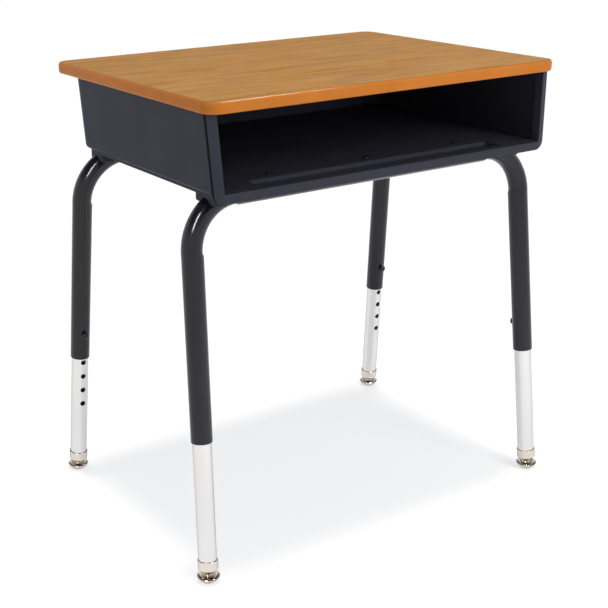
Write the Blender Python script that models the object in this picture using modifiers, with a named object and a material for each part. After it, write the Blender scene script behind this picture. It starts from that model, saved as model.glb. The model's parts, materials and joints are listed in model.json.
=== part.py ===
"""Study desk with a wood-grain top, an open book box, bent tube frames, telescoping legs and swivel glides.

Metres, +Z up. The desk stands on z = 0 and the open front of the book box faces -Y.
"""
import math

import bmesh
import bpy
from mathutils import Matrix, Vector

# Clearances between pieces
SEAT_GAP = 0.0003
SLIDE_GAP = 0.0005
HOLE_GAP = 0.0005
OVERLAP = 0.0008
PAST = 0.0200

# Desk top
TOP_WIDTH = 0.6096
TOP_DEPTH = 0.4572
DESK_HEIGHT = 0.6858
TOP_THICKNESS = 0.0159
TOP_CORNER_RADIUS = 0.0225
LAMINATE_THICKNESS = 0.0012
BACKER_THICKNESS = 0.0008
BAND_WIDTH = 0.0034
BAND_ROUND = 0.0046
TONGUE_LENGTH = 0.0080
TONGUE_THICKNESS = 0.0022

# Book box
BOX_SIDE_INSET = 0.0055
BOX_FRONT_INSET = 0.0111
BOX_REAR_INSET = 0.0456
BOX_DRAFT = 0.0063
BOX_REAR_DRAFT = 0.0015
BOX_INNER_HEIGHT = 0.1041
BOX_REAR_RADIUS = 0.0335
BOX_BASE_ROUND = 0.0060
WALL = 0.0030
FLOOR = 0.0027
FLANGE_WIDTH = 0.0200
FLANGE_THICKNESS = 0.0030
FLANGE_CORNER_RADIUS = 0.0060

# Front rim of the book box
RIM_BAND = 0.0131
RIM_FLAT = 0.0020
RIM_SETBACK = 0.0044
RIM_PLATE = 0.0019
RIM_ROUND = 0.0008
RIM_LEAN = 0.06
RIM_CORNER_RADIUS = 0.0150
RIM_OPENING_RADIUS = 0.0030
GROOVE_WIDTH = 0.0056
GROOVE_DEPTH = 0.0040
LIP_DROP = 0.0111

# Underside of the book box
SKIRT_INSET = 0.0125
SKIRT_DROP = 0.0083
SKIRT_REAR_INSET = 0.0289
PAD_INSET = 0.0185
PAD_THICKNESS = 0.0200
PAD_DROP = 0.0230
PAD_FRONT = 0.0290
PAD_REAR = 0.0185
PAD_INNER = 0.0250
TRAY_SIDE_INSET = 0.0790
TRAY_LEAD = 0.0006
TRAY_REAR_LEAD = 0.0146
TRAY_DEPTH = 0.0065
TRAY_ROUND = 0.0055

# Tube frames
TUBE_DIAMETER = 0.0310
TUBE_WALL = 0.0014
BEND_RADIUS = 0.0730
BEND_SQUEEZE = 0.94
DIE_MARK = 0.0080
RUN_INSET = 0.0672
LEG_OUTSET = 0.0040
UPPER_LEG_LENGTH = 0.3370

# Telescoping legs
FOOT_SIDE_OUTSET = 0.0123
FOOT_END_INSET = 0.0124
INSERT_WALL = 0.0016
HOLE_PITCH = 0.0254
HOLES_BELOW = 5
HOLES_ABOVE = 3
HOLE_MARGIN = 0.0110
SCREW_ABOVE_END = 0.0446

# Height screws
SCREW_SHANK = 0.0078
SCREW_HEAD = 0.0116
SCREW_HEAD_HEIGHT = 0.0046
SCREW_BACK_OFF = 0.0030
HEAD_EDGE_SHARE = 0.35

# Ferrules and swivel glides
BALL_DIAMETER = 0.0104
STEM_DIAMETER = 0.0064
STEM_HEAD = 0.0110
STEM_HEAD_HEIGHT = 0.0015
FERRULE_RISE = 0.0108
FERRULE_HEIGHT = 0.0160
FERRULE_WALL = 0.0010
FERRULE_BASE = 0.0018
FERRULE_ROUND = 0.0030
DISH_DIAMETER = 0.0345
DISH_BASE = 0.0170
DISH_HEIGHT = 0.0106
DISH_WALL = 0.0014
DISH_FLOOR = 0.0021
HUB_WALL = 0.0018
HUB_LIP_ANGLE = 30.0

# Small screws
SMALL_SHANK = 0.0048
SMALL_HEAD = 0.0104
SMALL_HEAD_HEIGHT = 0.0030
TOP_SCREW_COVER = 0.0040
FRAME_SCREW_LENGTH = 0.0100
SIDE_SCREW_FRONT_INSET = 0.1165
SIDE_SCREW_REAR_INSET = 0.1030
REAR_SCREW_SPACING = 0.3000
FRAME_SCREW_SPACING = 0.1700

# Counts of sides and steps on round forms
CORNER_STEPS = 6
ROUND_STEPS = 3
DISH_STEPS = 3
BALL_STEPS = 4
BEND_STEPS = 8
TUBE_RESOLUTION = 6
EDGE_STEPS = 2
TURNED_SIDES = 16
SCREW_SIDES = 8
SMOOTH_ANGLE = 30.0
WELD = 0.00001

# Levels and places worked out from the sizes above
UNDERSIDE = DESK_HEIGHT - TOP_THICKNESS
BOX_TOP = UNDERSIDE - SEAT_GAP
FLOOR_TOP = BOX_TOP - BOX_INNER_HEIGHT
FLOOR_UNDER = FLOOR_TOP - FLOOR
FLANGE_UNDER = BOX_TOP - FLANGE_THICKNESS
TUBE_RADIUS = TUBE_DIAMETER / 2
INSERT_RADIUS = TUBE_RADIUS - TUBE_WALL - SLIDE_GAP
RUN_Z = FLOOR_UNDER - SEAT_GAP - TUBE_RADIUS
RUN_Y = TOP_DEPTH / 2 - RUN_INSET
BOX_HALF = TOP_WIDTH / 2 - BOX_SIDE_INSET
FLOOR_HALF = BOX_HALF - BOX_DRAFT
KNEE_X = FLOOR_HALF + LEG_OUTSET
BOX_FRONT = -TOP_DEPTH / 2 + BOX_FRONT_INSET
BOX_REAR = TOP_DEPTH / 2 - BOX_REAR_INSET
RIM_EDGE = BOX_FRONT + RIM_SETBACK
PLATE_BACK = RIM_EDGE + RIM_PLATE
WALL_FRONT = PLATE_BACK + GROOVE_WIDTH
RIM_BACK = WALL_FRONT + WALL
RIM_FOOT = RIM_BACK - RIM_LEAN * BOX_INNER_HEIGHT
LIP_LOW = FLOOR_UNDER - LIP_DROP
LAMINATE_LOW = DESK_HEIGHT - LAMINATE_THICKNESS
CORE_TOP = LAMINATE_LOW - SEAT_GAP
TOP_SCREW_TIP = CORE_TOP - TOP_SCREW_COVER
SCREW_HOLE_RADIUS = SCREW_SHANK / 2 + HOLE_GAP
SMALL_HOLE_RADIUS = SMALL_SHANK / 2 + HOLE_GAP
SOCKET_RADIUS = BALL_DIAMETER / 2 + HOLE_GAP
SWIVEL_HEIGHT = SOCKET_RADIUS + DISH_FLOOR
INSERT_LOW = FERRULE_RISE + FERRULE_BASE + SEAT_GAP
FERRULE_TOP = FERRULE_RISE + FERRULE_HEIGHT

SIDES = {"left": -1, "right": 1}
ENDS = {"front": -1, "rear": 1}

OAK = ("oak_laminate", (0.47, 0.24, 0.09), 0.42, 0.0)
AMBER = ("amber_edge_band", (0.58, 0.19, 0.04), 0.30, 0.0)
CHIPBOARD = ("chipboard", (0.42, 0.29, 0.17), 0.85, 0.0)
KRAFT = ("brown_backer", (0.16, 0.09, 0.05), 0.70, 0.0)
BLACK_PLASTIC = ("black_plastic", (0.036, 0.036, 0.042), 0.45, 0.0)
CHARCOAL = ("charcoal_powder_coat", (0.044, 0.043, 0.048), 0.40, 0.0)
CHROME = ("bright_chrome", (0.78, 0.78, 0.79), 0.12, 1.0)
NICKEL = ("warm_nickel", (0.72, 0.66, 0.58), 0.16, 1.0)
BLACK_SCREW = ("black_screw", (0.018, 0.018, 0.020), 0.35, 0.3)
ZINC = ("zinc_screw", (0.55, 0.56, 0.58), 0.35, 1.0)


def clear_scene():
    """Remove every object that is in the scene."""
    for obj in list(bpy.data.objects):
        bpy.data.objects.remove(obj, do_unlink=True)


def new_collection(name):
    """New collection under the scene."""
    collection = bpy.data.collections.new(name)
    bpy.context.scene.collection.children.link(collection)
    return collection


def finish_material(finish):
    """Principled material of a named finish, made once."""
    name, colour, roughness, metallic = finish
    material = bpy.data.materials.get(name)
    if material is None:
        material = bpy.data.materials.new(name)
        material.use_nodes = True
        shader = material.node_tree.nodes["Principled BSDF"]
        shader.inputs["Base Color"].default_value = (*colour, 1.0)
        shader.inputs["Roughness"].default_value = roughness
        shader.inputs["Metallic"].default_value = metallic
    return material


def add_object(name, mesh, collection):
    """Object for a mesh, in a collection."""
    obj = bpy.data.objects.new(name, mesh)
    collection.objects.link(obj)
    return obj


def from_bmesh(name, bm, collection):
    """Object from a bmesh with its faces turned outwards."""
    bmesh.ops.recalc_face_normals(bm, faces=bm.faces)
    mesh = bpy.data.meshes.new(name)
    bm.to_mesh(mesh)
    bm.free()
    return add_object(name, mesh, collection)


def as_tool(obj):
    """Mark an object as a cutter or a joined-in tool."""
    obj.hide_render = True
    obj.display_type = "WIRE"
    return obj


def freeze(obj):
    """Replace an object's mesh by its evaluated one and drop its modifiers."""
    graph = bpy.context.evaluated_depsgraph_get()
    mesh = bpy.data.meshes.new_from_object(obj.evaluated_get(graph))
    obj.modifiers.clear()
    obj.data = mesh
    return obj


def boolean(obj, tool, operation):
    """Add a Boolean with a tool object."""
    modifier = obj.modifiers.new(f"{operation.lower()} {tool.name}", "BOOLEAN")
    modifier.operation = operation
    modifier.solver = "EXACT"
    modifier.object = as_tool(tool)


def cut(obj, *tools):
    """Take tools away from an object."""
    for tool in tools:
        boolean(obj, tool, "DIFFERENCE")


def join(obj, *tools):
    """Fuse tools with an object."""
    for tool in tools:
        boolean(obj, tool, "UNION")


def dress(obj, finish):
    """Give an object its material and smooth shading up to an edge angle."""
    mesh = obj.data
    mesh.materials.clear()
    mesh.materials.append(finish_material(finish))
    mesh.shade_smooth()
    mesh.set_sharp_from_angle(angle=math.radians(SMOOTH_ANGLE))
    return obj


def place(obj, matrix, parent=None):
    """Put an object at a world matrix, under a parent if there is one."""
    if parent is not None:
        obj.parent = parent
        obj.matrix_parent_inverse = parent.matrix_world.inverted()
    obj.matrix_world = matrix


def pointing(origin, direction):
    """Matrix at an origin with its Z axis along a direction."""
    turn = Vector((0.0, 0.0, 1.0)).rotation_difference(direction)
    return Matrix.Translation(origin) @ turn.to_matrix().to_4x4()


def quarter_turn(steps):
    """Angles from zero to a right angle in equal steps."""
    return [math.pi / 2 * step / steps for step in range(steps + 1)]


def rounded_outline(half_width, front, rear, front_radius, rear_radius):
    """Points of a rectangle with rounded corners, anticlockwise from above."""
    corners = (
        (half_width, front, front_radius, -math.pi / 2),
        (half_width, rear, rear_radius, 0.0),
        (-half_width, rear, rear_radius, math.pi / 2),
        (-half_width, front, front_radius, math.pi),
    )
    points = []
    for x, y, radius, start in corners:
        if radius == 0.0:
            points.append(Vector((x, y)))
            continue
        centre = Vector((x - math.copysign(radius, x), y + radius if y == front else y - radius))
        for turn in quarter_turn(CORNER_STEPS):
            points.append(centre + radius * Vector((math.cos(start + turn), math.sin(start + turn))))
    return points


def round_over(bm, edges, width):
    """Round edges of a bmesh."""
    bmesh.ops.bevel(
        bm, geom=edges, offset=width, segments=EDGE_STEPS, profile=0.5, affect="EDGES", material=-1
    )


def lofted(name, sections, collection, bevel_ring=None, bevel_width=0.0):
    """Closed solid through outlines with equal counts of points, with one end ring rounded if asked."""
    bm = bmesh.new()
    rings = [[bm.verts.new(point) for point in section] for section in sections]
    for lower, upper in zip(rings, rings[1:]):
        for index in range(len(lower)):
            bm.faces.new((lower[index - 1], lower[index], upper[index], upper[index - 1]))
    for ring in (rings[0], rings[-1]):
        bm.faces.new(ring)
    if bevel_ring is not None:
        ring = rings[bevel_ring]
        edges = [bm.edges.get((ring[index - 1], ring[index])) for index in range(len(ring))]
        round_over(bm, edges, bevel_width)
    return from_bmesh(name, bm, collection)


def block(name, low, high, collection, round_edges=0.0):
    """Box between two corners, with rounded edges if asked."""
    bm = bmesh.new()
    bmesh.ops.create_cube(bm, size=1.0)
    low = Vector(low)
    high = Vector(high)
    bmesh.ops.scale(bm, vec=high - low, verts=bm.verts)
    bmesh.ops.translate(bm, vec=(low + high) / 2, verts=bm.verts)
    if round_edges > 0.0:
        round_over(bm, bm.edges[:], round_edges)
    return from_bmesh(name, bm, collection)


def rods(name, places, radius, collection):
    """Straight round rods between pairs of points, as one tool."""
    bm = bmesh.new()
    for start, end in places:
        axis = end - start
        matrix = pointing((start + end) / 2, axis.normalized())
        bmesh.ops.create_cone(
            bm,
            cap_ends=True,
            segments=SCREW_SIDES,
            radius1=radius,
            radius2=radius,
            depth=axis.length,
            matrix=matrix,
        )
    return from_bmesh(name, bm, collection)


def turned(name, profile, sides, collection):
    """Turned solid from a profile of radius and height pairs that runs from the top down its outer side."""
    bm = bmesh.new()
    verts = [bm.verts.new((radius, 0.0, height)) for radius, height in profile]
    for upper, lower in zip(verts, verts[1:]):
        bm.edges.new((upper, lower))
    mesh = bpy.data.meshes.new(name)
    bm.to_mesh(mesh)
    bm.free()
    obj = add_object(name, mesh, collection)
    screw = obj.modifiers.new("turn", "SCREW")
    screw.axis = "Z"
    screw.angle = math.tau
    screw.screw_offset = 0.0
    screw.steps = sides
    screw.render_steps = sides
    screw.use_merge_vertices = True
    screw.merge_threshold = WELD
    return freeze(obj)


def arc(centre_radius, centre_height, radius, start, end, steps):
    """Profile points on an arc, with angles in degrees from the outward direction."""
    points = []
    for step in range(steps + 1):
        angle = math.radians(start + (end - start) * step / steps)
        points.append((centre_radius + radius * math.cos(angle), centre_height + radius * math.sin(angle)))
    return points


def swept_ring(name, path, profile, collection):
    """Closed ring with a profile of outward and upward offsets, swept along a flat closed path."""
    shape = bpy.data.curves.new(f"{name} profile", "CURVE")
    shape.dimensions = "2D"
    shape.fill_mode = "NONE"
    spline = shape.splines.new("POLY")
    spline.points.add(len(profile) - 1)
    for point, (outward, upward) in zip(spline.points, profile):
        point.co = (-outward, upward, 0.0, 1.0)
    spline.use_cyclic_u = True
    shape_object = add_object(f"{name} profile", shape, collection)

    rail = bpy.data.curves.new(f"{name} path", "CURVE")
    rail.dimensions = "2D"
    rail.fill_mode = "NONE"
    rail.bevel_mode = "OBJECT"
    rail.bevel_object = shape_object
    spline = rail.splines.new("POLY")
    spline.points.add(len(path) - 1)
    for point, corner in zip(spline.points, path):
        point.co = (corner.x, corner.y, 0.0, 1.0)
    spline.use_cyclic_u = True
    rail_object = add_object(f"{name} path", rail, collection)
    obj = add_object(name, curve_mesh(rail_object), collection)
    bpy.data.objects.remove(rail_object)
    bpy.data.objects.remove(shape_object)
    return obj


def curve_mesh(curve_object):
    """Welded mesh of a curve object with its faces turned outwards."""
    graph = bpy.context.evaluated_depsgraph_get()
    mesh = bpy.data.meshes.new_from_object(curve_object.evaluated_get(graph))
    bm = bmesh.new()
    bm.from_mesh(mesh)
    bmesh.ops.remove_doubles(bm, verts=bm.verts, dist=WELD)
    bmesh.ops.recalc_face_normals(bm, faces=bm.faces)
    bm.to_mesh(mesh)
    bm.free()
    return mesh


def bent_tube(name, path, radius, collection, caps):
    """Mesh object of a round tube along points with a radius factor each."""
    curve = bpy.data.curves.new(name, "CURVE")
    curve.dimensions = "3D"
    curve.bevel_depth = radius
    curve.bevel_resolution = TUBE_RESOLUTION
    curve.use_fill_caps = caps
    spline = curve.splines.new("POLY")
    spline.points.add(len(path) - 1)
    for point, (position, factor) in zip(spline.points, path):
        point.co = (*position, 1.0)
        point.radius = factor
    curve_object = add_object(f"{name} path", curve, collection)
    obj = add_object(name, curve_mesh(curve_object), collection)
    bpy.data.objects.remove(curve_object)
    return obj


def leg_line(side, end):
    """Swivel centre of a foot, unit direction up its leg, and the knee where the leg line meets the run."""
    foot_x = TOP_WIDTH / 2 + FOOT_SIDE_OUTSET
    foot_y = TOP_DEPTH / 2 - FOOT_END_INSET
    foot = Vector((side * foot_x, end * foot_y, SWIVEL_HEIGHT))
    knee = Vector((side * KNEE_X, end * RUN_Y, RUN_Z))
    return foot, (knee - foot).normalized(), knee


def tube_end_distance(side, end):
    """Distance up the leg from the swivel centre to the lower end of the upper tube."""
    foot, _, knee = leg_line(side, end)
    return (knee - foot).length - UPPER_LEG_LENGTH


def screw_distance(side, end):
    """Distance up the leg from the swivel centre to the height screw."""
    return tube_end_distance(side, end) + SCREW_ABOVE_END


def screw_direction(side, end):
    """Unit direction out of the leg in which its height screw and its holes face."""
    _, up, _ = leg_line(side, end)
    inward = Vector((0.0, -end, 0.0))
    return (inward - up * inward.dot(up)).normalized()


def half_frame_path(end):
    """Points and radius factors from the right leg's lower end, round the bend, to the run."""
    foot, up, knee = leg_line(1, end)
    along = Vector((-1.0, 0.0, 0.0))
    turn = up.angle(along)
    reach = BEND_RADIUS * math.tan(turn / 2)
    start = knee - up * reach
    inward = (along - up * along.dot(up)).normalized()
    centre = start + inward * BEND_RADIUS
    path = [(foot + up * tube_end_distance(1, end), 1.0), (start - up * DIE_MARK, 1.0)]
    for step in range(BEND_STEPS + 1):
        angle = turn * step / BEND_STEPS
        spoke = up * math.sin(angle) - inward * math.cos(angle)
        path.append((centre + spoke * BEND_RADIUS, BEND_SQUEEZE))
    path.append((knee + along * (reach + DIE_MARK), 1.0))
    return path


def frame_path(end):
    """Points and radius factors of a whole tube frame, from its right leg to its left leg."""
    right = half_frame_path(end)
    left = [(Vector((-point.x, point.y, point.z)), factor) for point, factor in reversed(right)]
    return right + left


def wall_half_width(level):
    """Outer half width of the book box at a height."""
    rise = (level - FLOOR_UNDER) / (BOX_TOP - FLOOR_UNDER)
    return BOX_HALF - BOX_DRAFT * (1.0 - rise)


def wall_rear(level):
    """Outer rear face of the book box at a height."""
    rise = (level - FLOOR_UNDER) / (BOX_TOP - FLOOR_UNDER)
    return BOX_REAR - BOX_REAR_DRAFT * (1.0 - rise)


def leaned(y, level):
    """Depth of a plane of the rim at a height: the rim leans, so that it is further forward lower down."""
    return y - RIM_LEAN * (BOX_TOP - level)


def tub_section(level, inset, front, rear_radius):
    """Plan outline of the book box at a height, drawn in from its walls, with its leaning front."""
    outline = rounded_outline(
        wall_half_width(level) - inset, leaned(front, level), wall_rear(level) - inset, 0.0, rear_radius
    )
    return [Vector((point.x, point.y, level)) for point in outline]


def front_section(y, inset, low, high, radius):
    """U-shaped outline of the front rim at a depth, drawn in from the walls, open upwards past a level."""
    corners = [(wall_half_width(high) - inset, high)]
    for side in (1, -1):
        half = wall_half_width(low + radius) - inset
        for angle in quarter_turn(CORNER_STEPS):
            spread = math.cos(angle) if side == 1 else math.sin(angle)
            drop = math.sin(angle) if side == 1 else math.cos(angle)
            corners.append((side * (half - radius + radius * spread), low + radius - radius * drop))
    corners.append((inset - wall_half_width(high), high))
    return [Vector((x, leaned(y, z), z)) for x, z in corners]


def top_screw_places():
    """Axes of the top screws in plan."""
    side_x = wall_half_width(BOX_TOP) - WALL - FLANGE_WIDTH / 2
    rear_y = wall_rear(BOX_TOP) - WALL - FLANGE_WIDTH / 2
    side_y = {"front": BOX_FRONT + SIDE_SCREW_FRONT_INSET, "rear": BOX_REAR - SIDE_SCREW_REAR_INSET}
    places = {}
    for side, sign in SIDES.items():
        for end, y in side_y.items():
            places[f"top_screw_{side}_{end}"] = (sign * side_x, y)
        places[f"top_screw_back_{side}"] = (sign * REAR_SCREW_SPACING / 2, rear_y)
    return places


def frame_screw_places():
    """Axes of the frame screws in plan."""
    places = {}
    for end, sign in ENDS.items():
        for label, step in (("left", -1), ("middle", 0), ("right", 1)):
            places[f"frame_screw_{end}_{label}"] = (step * FRAME_SCREW_SPACING, sign * RUN_Y)
    return places


def screw_holes(name, places, low, high, collection):
    """Upright cutters for small screws at plan places between two levels."""
    ends = [(Vector((x, y, low)), Vector((x, y, high))) for x, y in places.values()]
    return rods(name, ends, SMALL_HOLE_RADIUS, collection)


def build_top(parts, tools):
    """Chipboard core, oak laminate, backer and the tongued edge band round them."""
    half = TOP_WIDTH / 2 - BAND_WIDTH
    deep = TOP_DEPTH / 2 - BAND_WIDTH
    outline = rounded_outline(
        half, -deep, deep, TOP_CORNER_RADIUS - BAND_WIDTH, TOP_CORNER_RADIUS - BAND_WIDTH
    )
    backer_top = UNDERSIDE + BACKER_THICKNESS
    layers = {
        "top_laminate": (LAMINATE_LOW, DESK_HEIGHT, OAK),
        "top_core": (backer_top + SEAT_GAP, CORE_TOP, CHIPBOARD),
        "top_backer": (UNDERSIDE, backer_top, KRAFT),
    }
    built = {}
    for name, (low, high, finish) in layers.items():
        sections = [[Vector((point.x, point.y, level)) for point in outline] for level in (low, high)]
        built[name] = dress(lofted(name, sections, parts), finish)

    middle = UNDERSIDE + TOP_THICKNESS / 2
    half_tongue = TONGUE_THICKNESS / 2
    groove = swept_ring(
        "tongue groove",
        outline,
        [
            (-TONGUE_LENGTH - SEAT_GAP, -half_tongue - SEAT_GAP),
            (OVERLAP, -half_tongue - SEAT_GAP),
            (OVERLAP, half_tongue + SEAT_GAP),
            (-TONGUE_LENGTH - SEAT_GAP, half_tongue + SEAT_GAP),
        ],
        tools,
    )
    groove.location.z = middle
    hole_top = TOP_SCREW_TIP + SEAT_GAP
    holes = screw_holes("top screw holes", top_screw_places(), UNDERSIDE - PAST, hole_top, tools)
    cut(built["top_core"], groove, holes)
    cut(built["top_backer"], holes)

    half_height = TOP_THICKNESS / 2
    round_wide = BAND_WIDTH - SEAT_GAP
    upper = [
        (SEAT_GAP + round_wide * math.sin(angle), half_height - BAND_ROUND * (1.0 - math.cos(angle)))
        for angle in quarter_turn(ROUND_STEPS)[1:]
    ]
    lower = [(outward, -upward) for outward, upward in reversed(upper)]
    profile = (
        [(SEAT_GAP, half_height)]
        + upper
        + lower
        + [
            (SEAT_GAP, -half_height),
            (SEAT_GAP, -half_tongue),
            (-TONGUE_LENGTH, -half_tongue),
            (-TONGUE_LENGTH, half_tongue),
            (SEAT_GAP, half_tongue),
        ]
    )
    band = swept_ring("edge_band", outline, profile, parts)
    band.location.z = middle
    dress(band, AMBER)


def build_book_box(parts, tools):
    """Moulded book box: drafted tub, front rim, pencil tray, side skirts, tube saddles and screw flange."""
    box = lofted(
        "book_box",
        [tub_section(level, 0.0, WALL_FRONT, BOX_REAR_RADIUS) for level in (FLOOR_UNDER, BOX_TOP)],
        parts,
        bevel_ring=0,
        bevel_width=BOX_BASE_ROUND,
    )
    slope = RIM_BAND - RIM_FLAT
    rim = lofted(
        "rim plate",
        [
            front_section(BOX_FRONT, slope, FLOOR_TOP - RIM_FLAT, BOX_TOP, RIM_CORNER_RADIUS - slope),
            front_section(RIM_EDGE, 0.0, LIP_LOW, BOX_TOP, RIM_CORNER_RADIUS),
            front_section(PLATE_BACK, 0.0, LIP_LOW, BOX_TOP, RIM_CORNER_RADIUS),
        ],
        tools,
        bevel_ring=1,
        bevel_width=RIM_ROUND,
    )
    neck = lofted(
        "rim neck",
        [
            front_section(y, GROOVE_DEPTH, LIP_LOW + GROOVE_DEPTH, BOX_TOP, RIM_CORNER_RADIUS - GROOVE_DEPTH)
            for y in (PLATE_BACK - OVERLAP, WALL_FRONT + OVERLAP)
        ],
        tools,
    )
    tray_half = FLOOR_HALF - TRAY_SIDE_INSET
    tray_front = RIM_FOOT - TRAY_LEAD
    tray_rear = -RUN_Y - TRAY_REAR_LEAD
    tray_floor = FLOOR_TOP - TRAY_DEPTH
    tray_body = block(
        "tray body",
        (-tray_half - WALL, tray_front - WALL, tray_floor - FLOOR),
        (tray_half + WALL, tray_rear + WALL, FLOOR_UNDER + OVERLAP),
        tools,
    )
    join(box, rim, neck, tray_body)

    for side, sign in SIDES.items():
        outer = sign * (FLOOR_HALF - SKIRT_INSET)
        skirt = block(
            f"{side} skirt",
            (min(outer, outer - sign * WALL), RIM_FOOT - OVERLAP - WALL, FLOOR_UNDER - SKIRT_DROP),
            (max(outer, outer - sign * WALL), BOX_REAR - SKIRT_REAR_INSET, FLOOR_UNDER + OVERLAP),
            tools,
        )
        join(box, skirt)
        pad_outer = sign * (FLOOR_HALF - PAD_INSET)
        pad_inner = pad_outer - sign * PAD_THICKNESS
        for end, end_sign in ENDS.items():
            nearer = end_sign * (RUN_Y - PAD_INNER)
            farther = end_sign * (RUN_Y + (PAD_FRONT if end == "front" else PAD_REAR))
            pad = block(
                f"{end} {side} pad",
                (min(pad_outer, pad_inner), min(nearer, farther), FLOOR_UNDER - PAD_DROP),
                (max(pad_outer, pad_inner), max(nearer, farther), FLOOR_UNDER + OVERLAP),
                tools,
            )
            join(box, pad)
    freeze(box)

    opening = lofted(
        "rim opening",
        [
            front_section(y, RIM_BAND, FLOOR_TOP, BOX_TOP + PAST, RIM_OPENING_RADIUS)
            for y in (BOX_FRONT - PAST, RIM_BACK + OVERLAP)
        ],
        tools,
    )
    cavity = lofted(
        "box cavity",
        [tub_section(level, WALL, RIM_BACK, BOX_REAR_RADIUS - WALL) for level in (FLOOR_TOP, FLANGE_UNDER)],
        tools,
        bevel_ring=0,
        bevel_width=BOX_BASE_ROUND,
    )
    mouth = lofted(
        "box mouth",
        [
            tub_section(level, WALL + FLANGE_WIDTH, BOX_FRONT - PAST, FLANGE_CORNER_RADIUS)
            for level in (FLANGE_UNDER - OVERLAP, BOX_TOP + PAST)
        ],
        tools,
    )
    tray = block(
        "pencil tray",
        (-tray_half, tray_front, tray_floor),
        (tray_half, tray_rear, FLOOR_TOP + PAST),
        tools,
        round_edges=TRAY_ROUND,
    )
    cut(box, opening, cavity, mouth, tray)
    for end, end_sign in ENDS.items():
        saddle = bent_tube(f"{end} saddle", frame_path(end_sign), TUBE_RADIUS + SEAT_GAP, tools, True)
        cut(box, saddle)
    cut(
        box,
        screw_holes("flange holes", top_screw_places(), FLANGE_UNDER - PAST, BOX_TOP + PAST, tools),
        screw_holes("floor holes", frame_screw_places(), FLOOR_UNDER - PAST, FLOOR_TOP + PAST, tools),
    )
    dress(freeze(box), BLACK_PLASTIC)


def build_frames(parts, tools):
    """Front and rear tube frames, each one bent tube with its screw holes."""
    for end, end_sign in ENDS.items():
        name = f"{end}_leg_frame"
        frame = bent_tube(name, frame_path(end_sign), TUBE_RADIUS, parts, False)
        shell = frame.modifiers.new("wall", "SOLIDIFY")
        shell.thickness = TUBE_WALL
        shell.offset = -1.0
        freeze(frame)
        places = {key: spot for key, spot in frame_screw_places().items() if f"_{end}_" in key}
        cut(frame, screw_holes(f"{end} run holes", places, RUN_Z, FLOOR_UNDER + PAST, tools))
        ends = []
        for side_sign in SIDES.values():
            foot, up, _ = leg_line(side_sign, end_sign)
            centre = foot + up * screw_distance(side_sign, end_sign)
            ends.append((centre, centre + screw_direction(side_sign, end_sign) * (TUBE_RADIUS + PAST)))
        cut(frame, rods(f"{end} screw holes", ends, SCREW_HOLE_RADIUS, tools))
        dress(freeze(frame), CHARCOAL)


def insert_tube(name, hole_distances, direction, parts, tools):
    """Chromed lower leg tube along its own Z axis, with its row of holes on one side."""
    top = max(hole_distances) + HOLE_MARGIN
    bm = bmesh.new()
    bmesh.ops.create_cone(
        bm,
        cap_ends=False,
        segments=TURNED_SIDES,
        radius1=INSERT_RADIUS,
        radius2=INSERT_RADIUS,
        depth=top - INSERT_LOW,
        matrix=Matrix.Translation((0.0, 0.0, (INSERT_LOW + top) / 2)),
    )
    tube = from_bmesh(name, bm, parts)
    shell = tube.modifiers.new("wall", "SOLIDIFY")
    shell.thickness = INSERT_WALL
    shell.offset = -1.0
    ends = []
    for distance in hole_distances:
        centre = Vector((0.0, 0.0, distance))
        ends.append((centre, centre + direction * (INSERT_RADIUS + PAST)))
    cut(tube, rods(f"{name} holes", ends, SCREW_HOLE_RADIUS, tools))
    return dress(freeze(tube), CHROME)


def ferrule(name, parts):
    """Nickel cup that closes the lower end of a leg, with a hole for the glide's stem."""
    inner = INSERT_RADIUS + SEAT_GAP
    outer = inner + FERRULE_WALL
    hole = STEM_DIAMETER / 2 + HOLE_GAP
    seat = FERRULE_RISE + FERRULE_BASE
    profile = (
        [(hole, seat), (inner, seat), (inner, FERRULE_TOP), (outer, FERRULE_TOP)]
        + arc(outer - FERRULE_ROUND, FERRULE_RISE + FERRULE_ROUND, FERRULE_ROUND, 0.0, -90.0, ROUND_STEPS)
        + [(hole, FERRULE_RISE), (hole, seat)]
    )
    return dress(turned(name, profile, TURNED_SIDES, parts), NICKEL)


def glide_stem(name, parts):
    """Stem with a riveted head inside the ferrule and a ball at the swivel centre."""
    ball = BALL_DIAMETER / 2
    pin = STEM_DIAMETER / 2
    head = STEM_HEAD / 2
    head_top = INSERT_LOW + STEM_HEAD_HEIGHT
    neck_angle = math.degrees(math.acos(pin / ball))
    profile = [(0.0, head_top), (head, head_top), (head, INSERT_LOW), (pin, INSERT_LOW)]
    profile += arc(0.0, 0.0, ball, neck_angle, -90.0, BALL_STEPS)
    return dress(turned(name, profile, TURNED_SIDES, parts), NICKEL)


def glide_dish(name, parts):
    """Pressed saucer with a hub that is closed over the ball of the stem."""
    rim = DISH_DIAMETER / 2
    base = DISH_BASE / 2
    low = -SWIVEL_HEIGHT
    hub = SOCKET_RADIUS + HUB_WALL
    hub_rise = SOCKET_RADIUS * math.sin(math.radians(HUB_LIP_ANGLE))
    bowl = rim - base
    underside = [
        (base + bowl * math.sin(angle), low + (DISH_HEIGHT - DISH_WALL) * (1.0 - math.cos(angle)))
        for angle in reversed(quarter_turn(DISH_STEPS))
    ]
    inside = [(radius - DISH_WALL, height + DISH_WALL) for radius, height in underside[1:-1]]
    profile = (
        arc(0.0, 0.0, SOCKET_RADIUS, -90.0, HUB_LIP_ANGLE, BALL_STEPS)
        + [(hub - HUB_WALL / 2, hub_rise + HUB_WALL / 4), (hub, hub_rise - HUB_WALL / 2)]
        + [(hub, low + 2 * DISH_WALL)]
        + list(reversed(inside))
        + [(rim - DISH_WALL / 2, low + DISH_HEIGHT)]
        + underside
        + [(0.0, low)]
    )
    return dress(turned(name, profile, TURNED_SIDES, parts), NICKEL)


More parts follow.
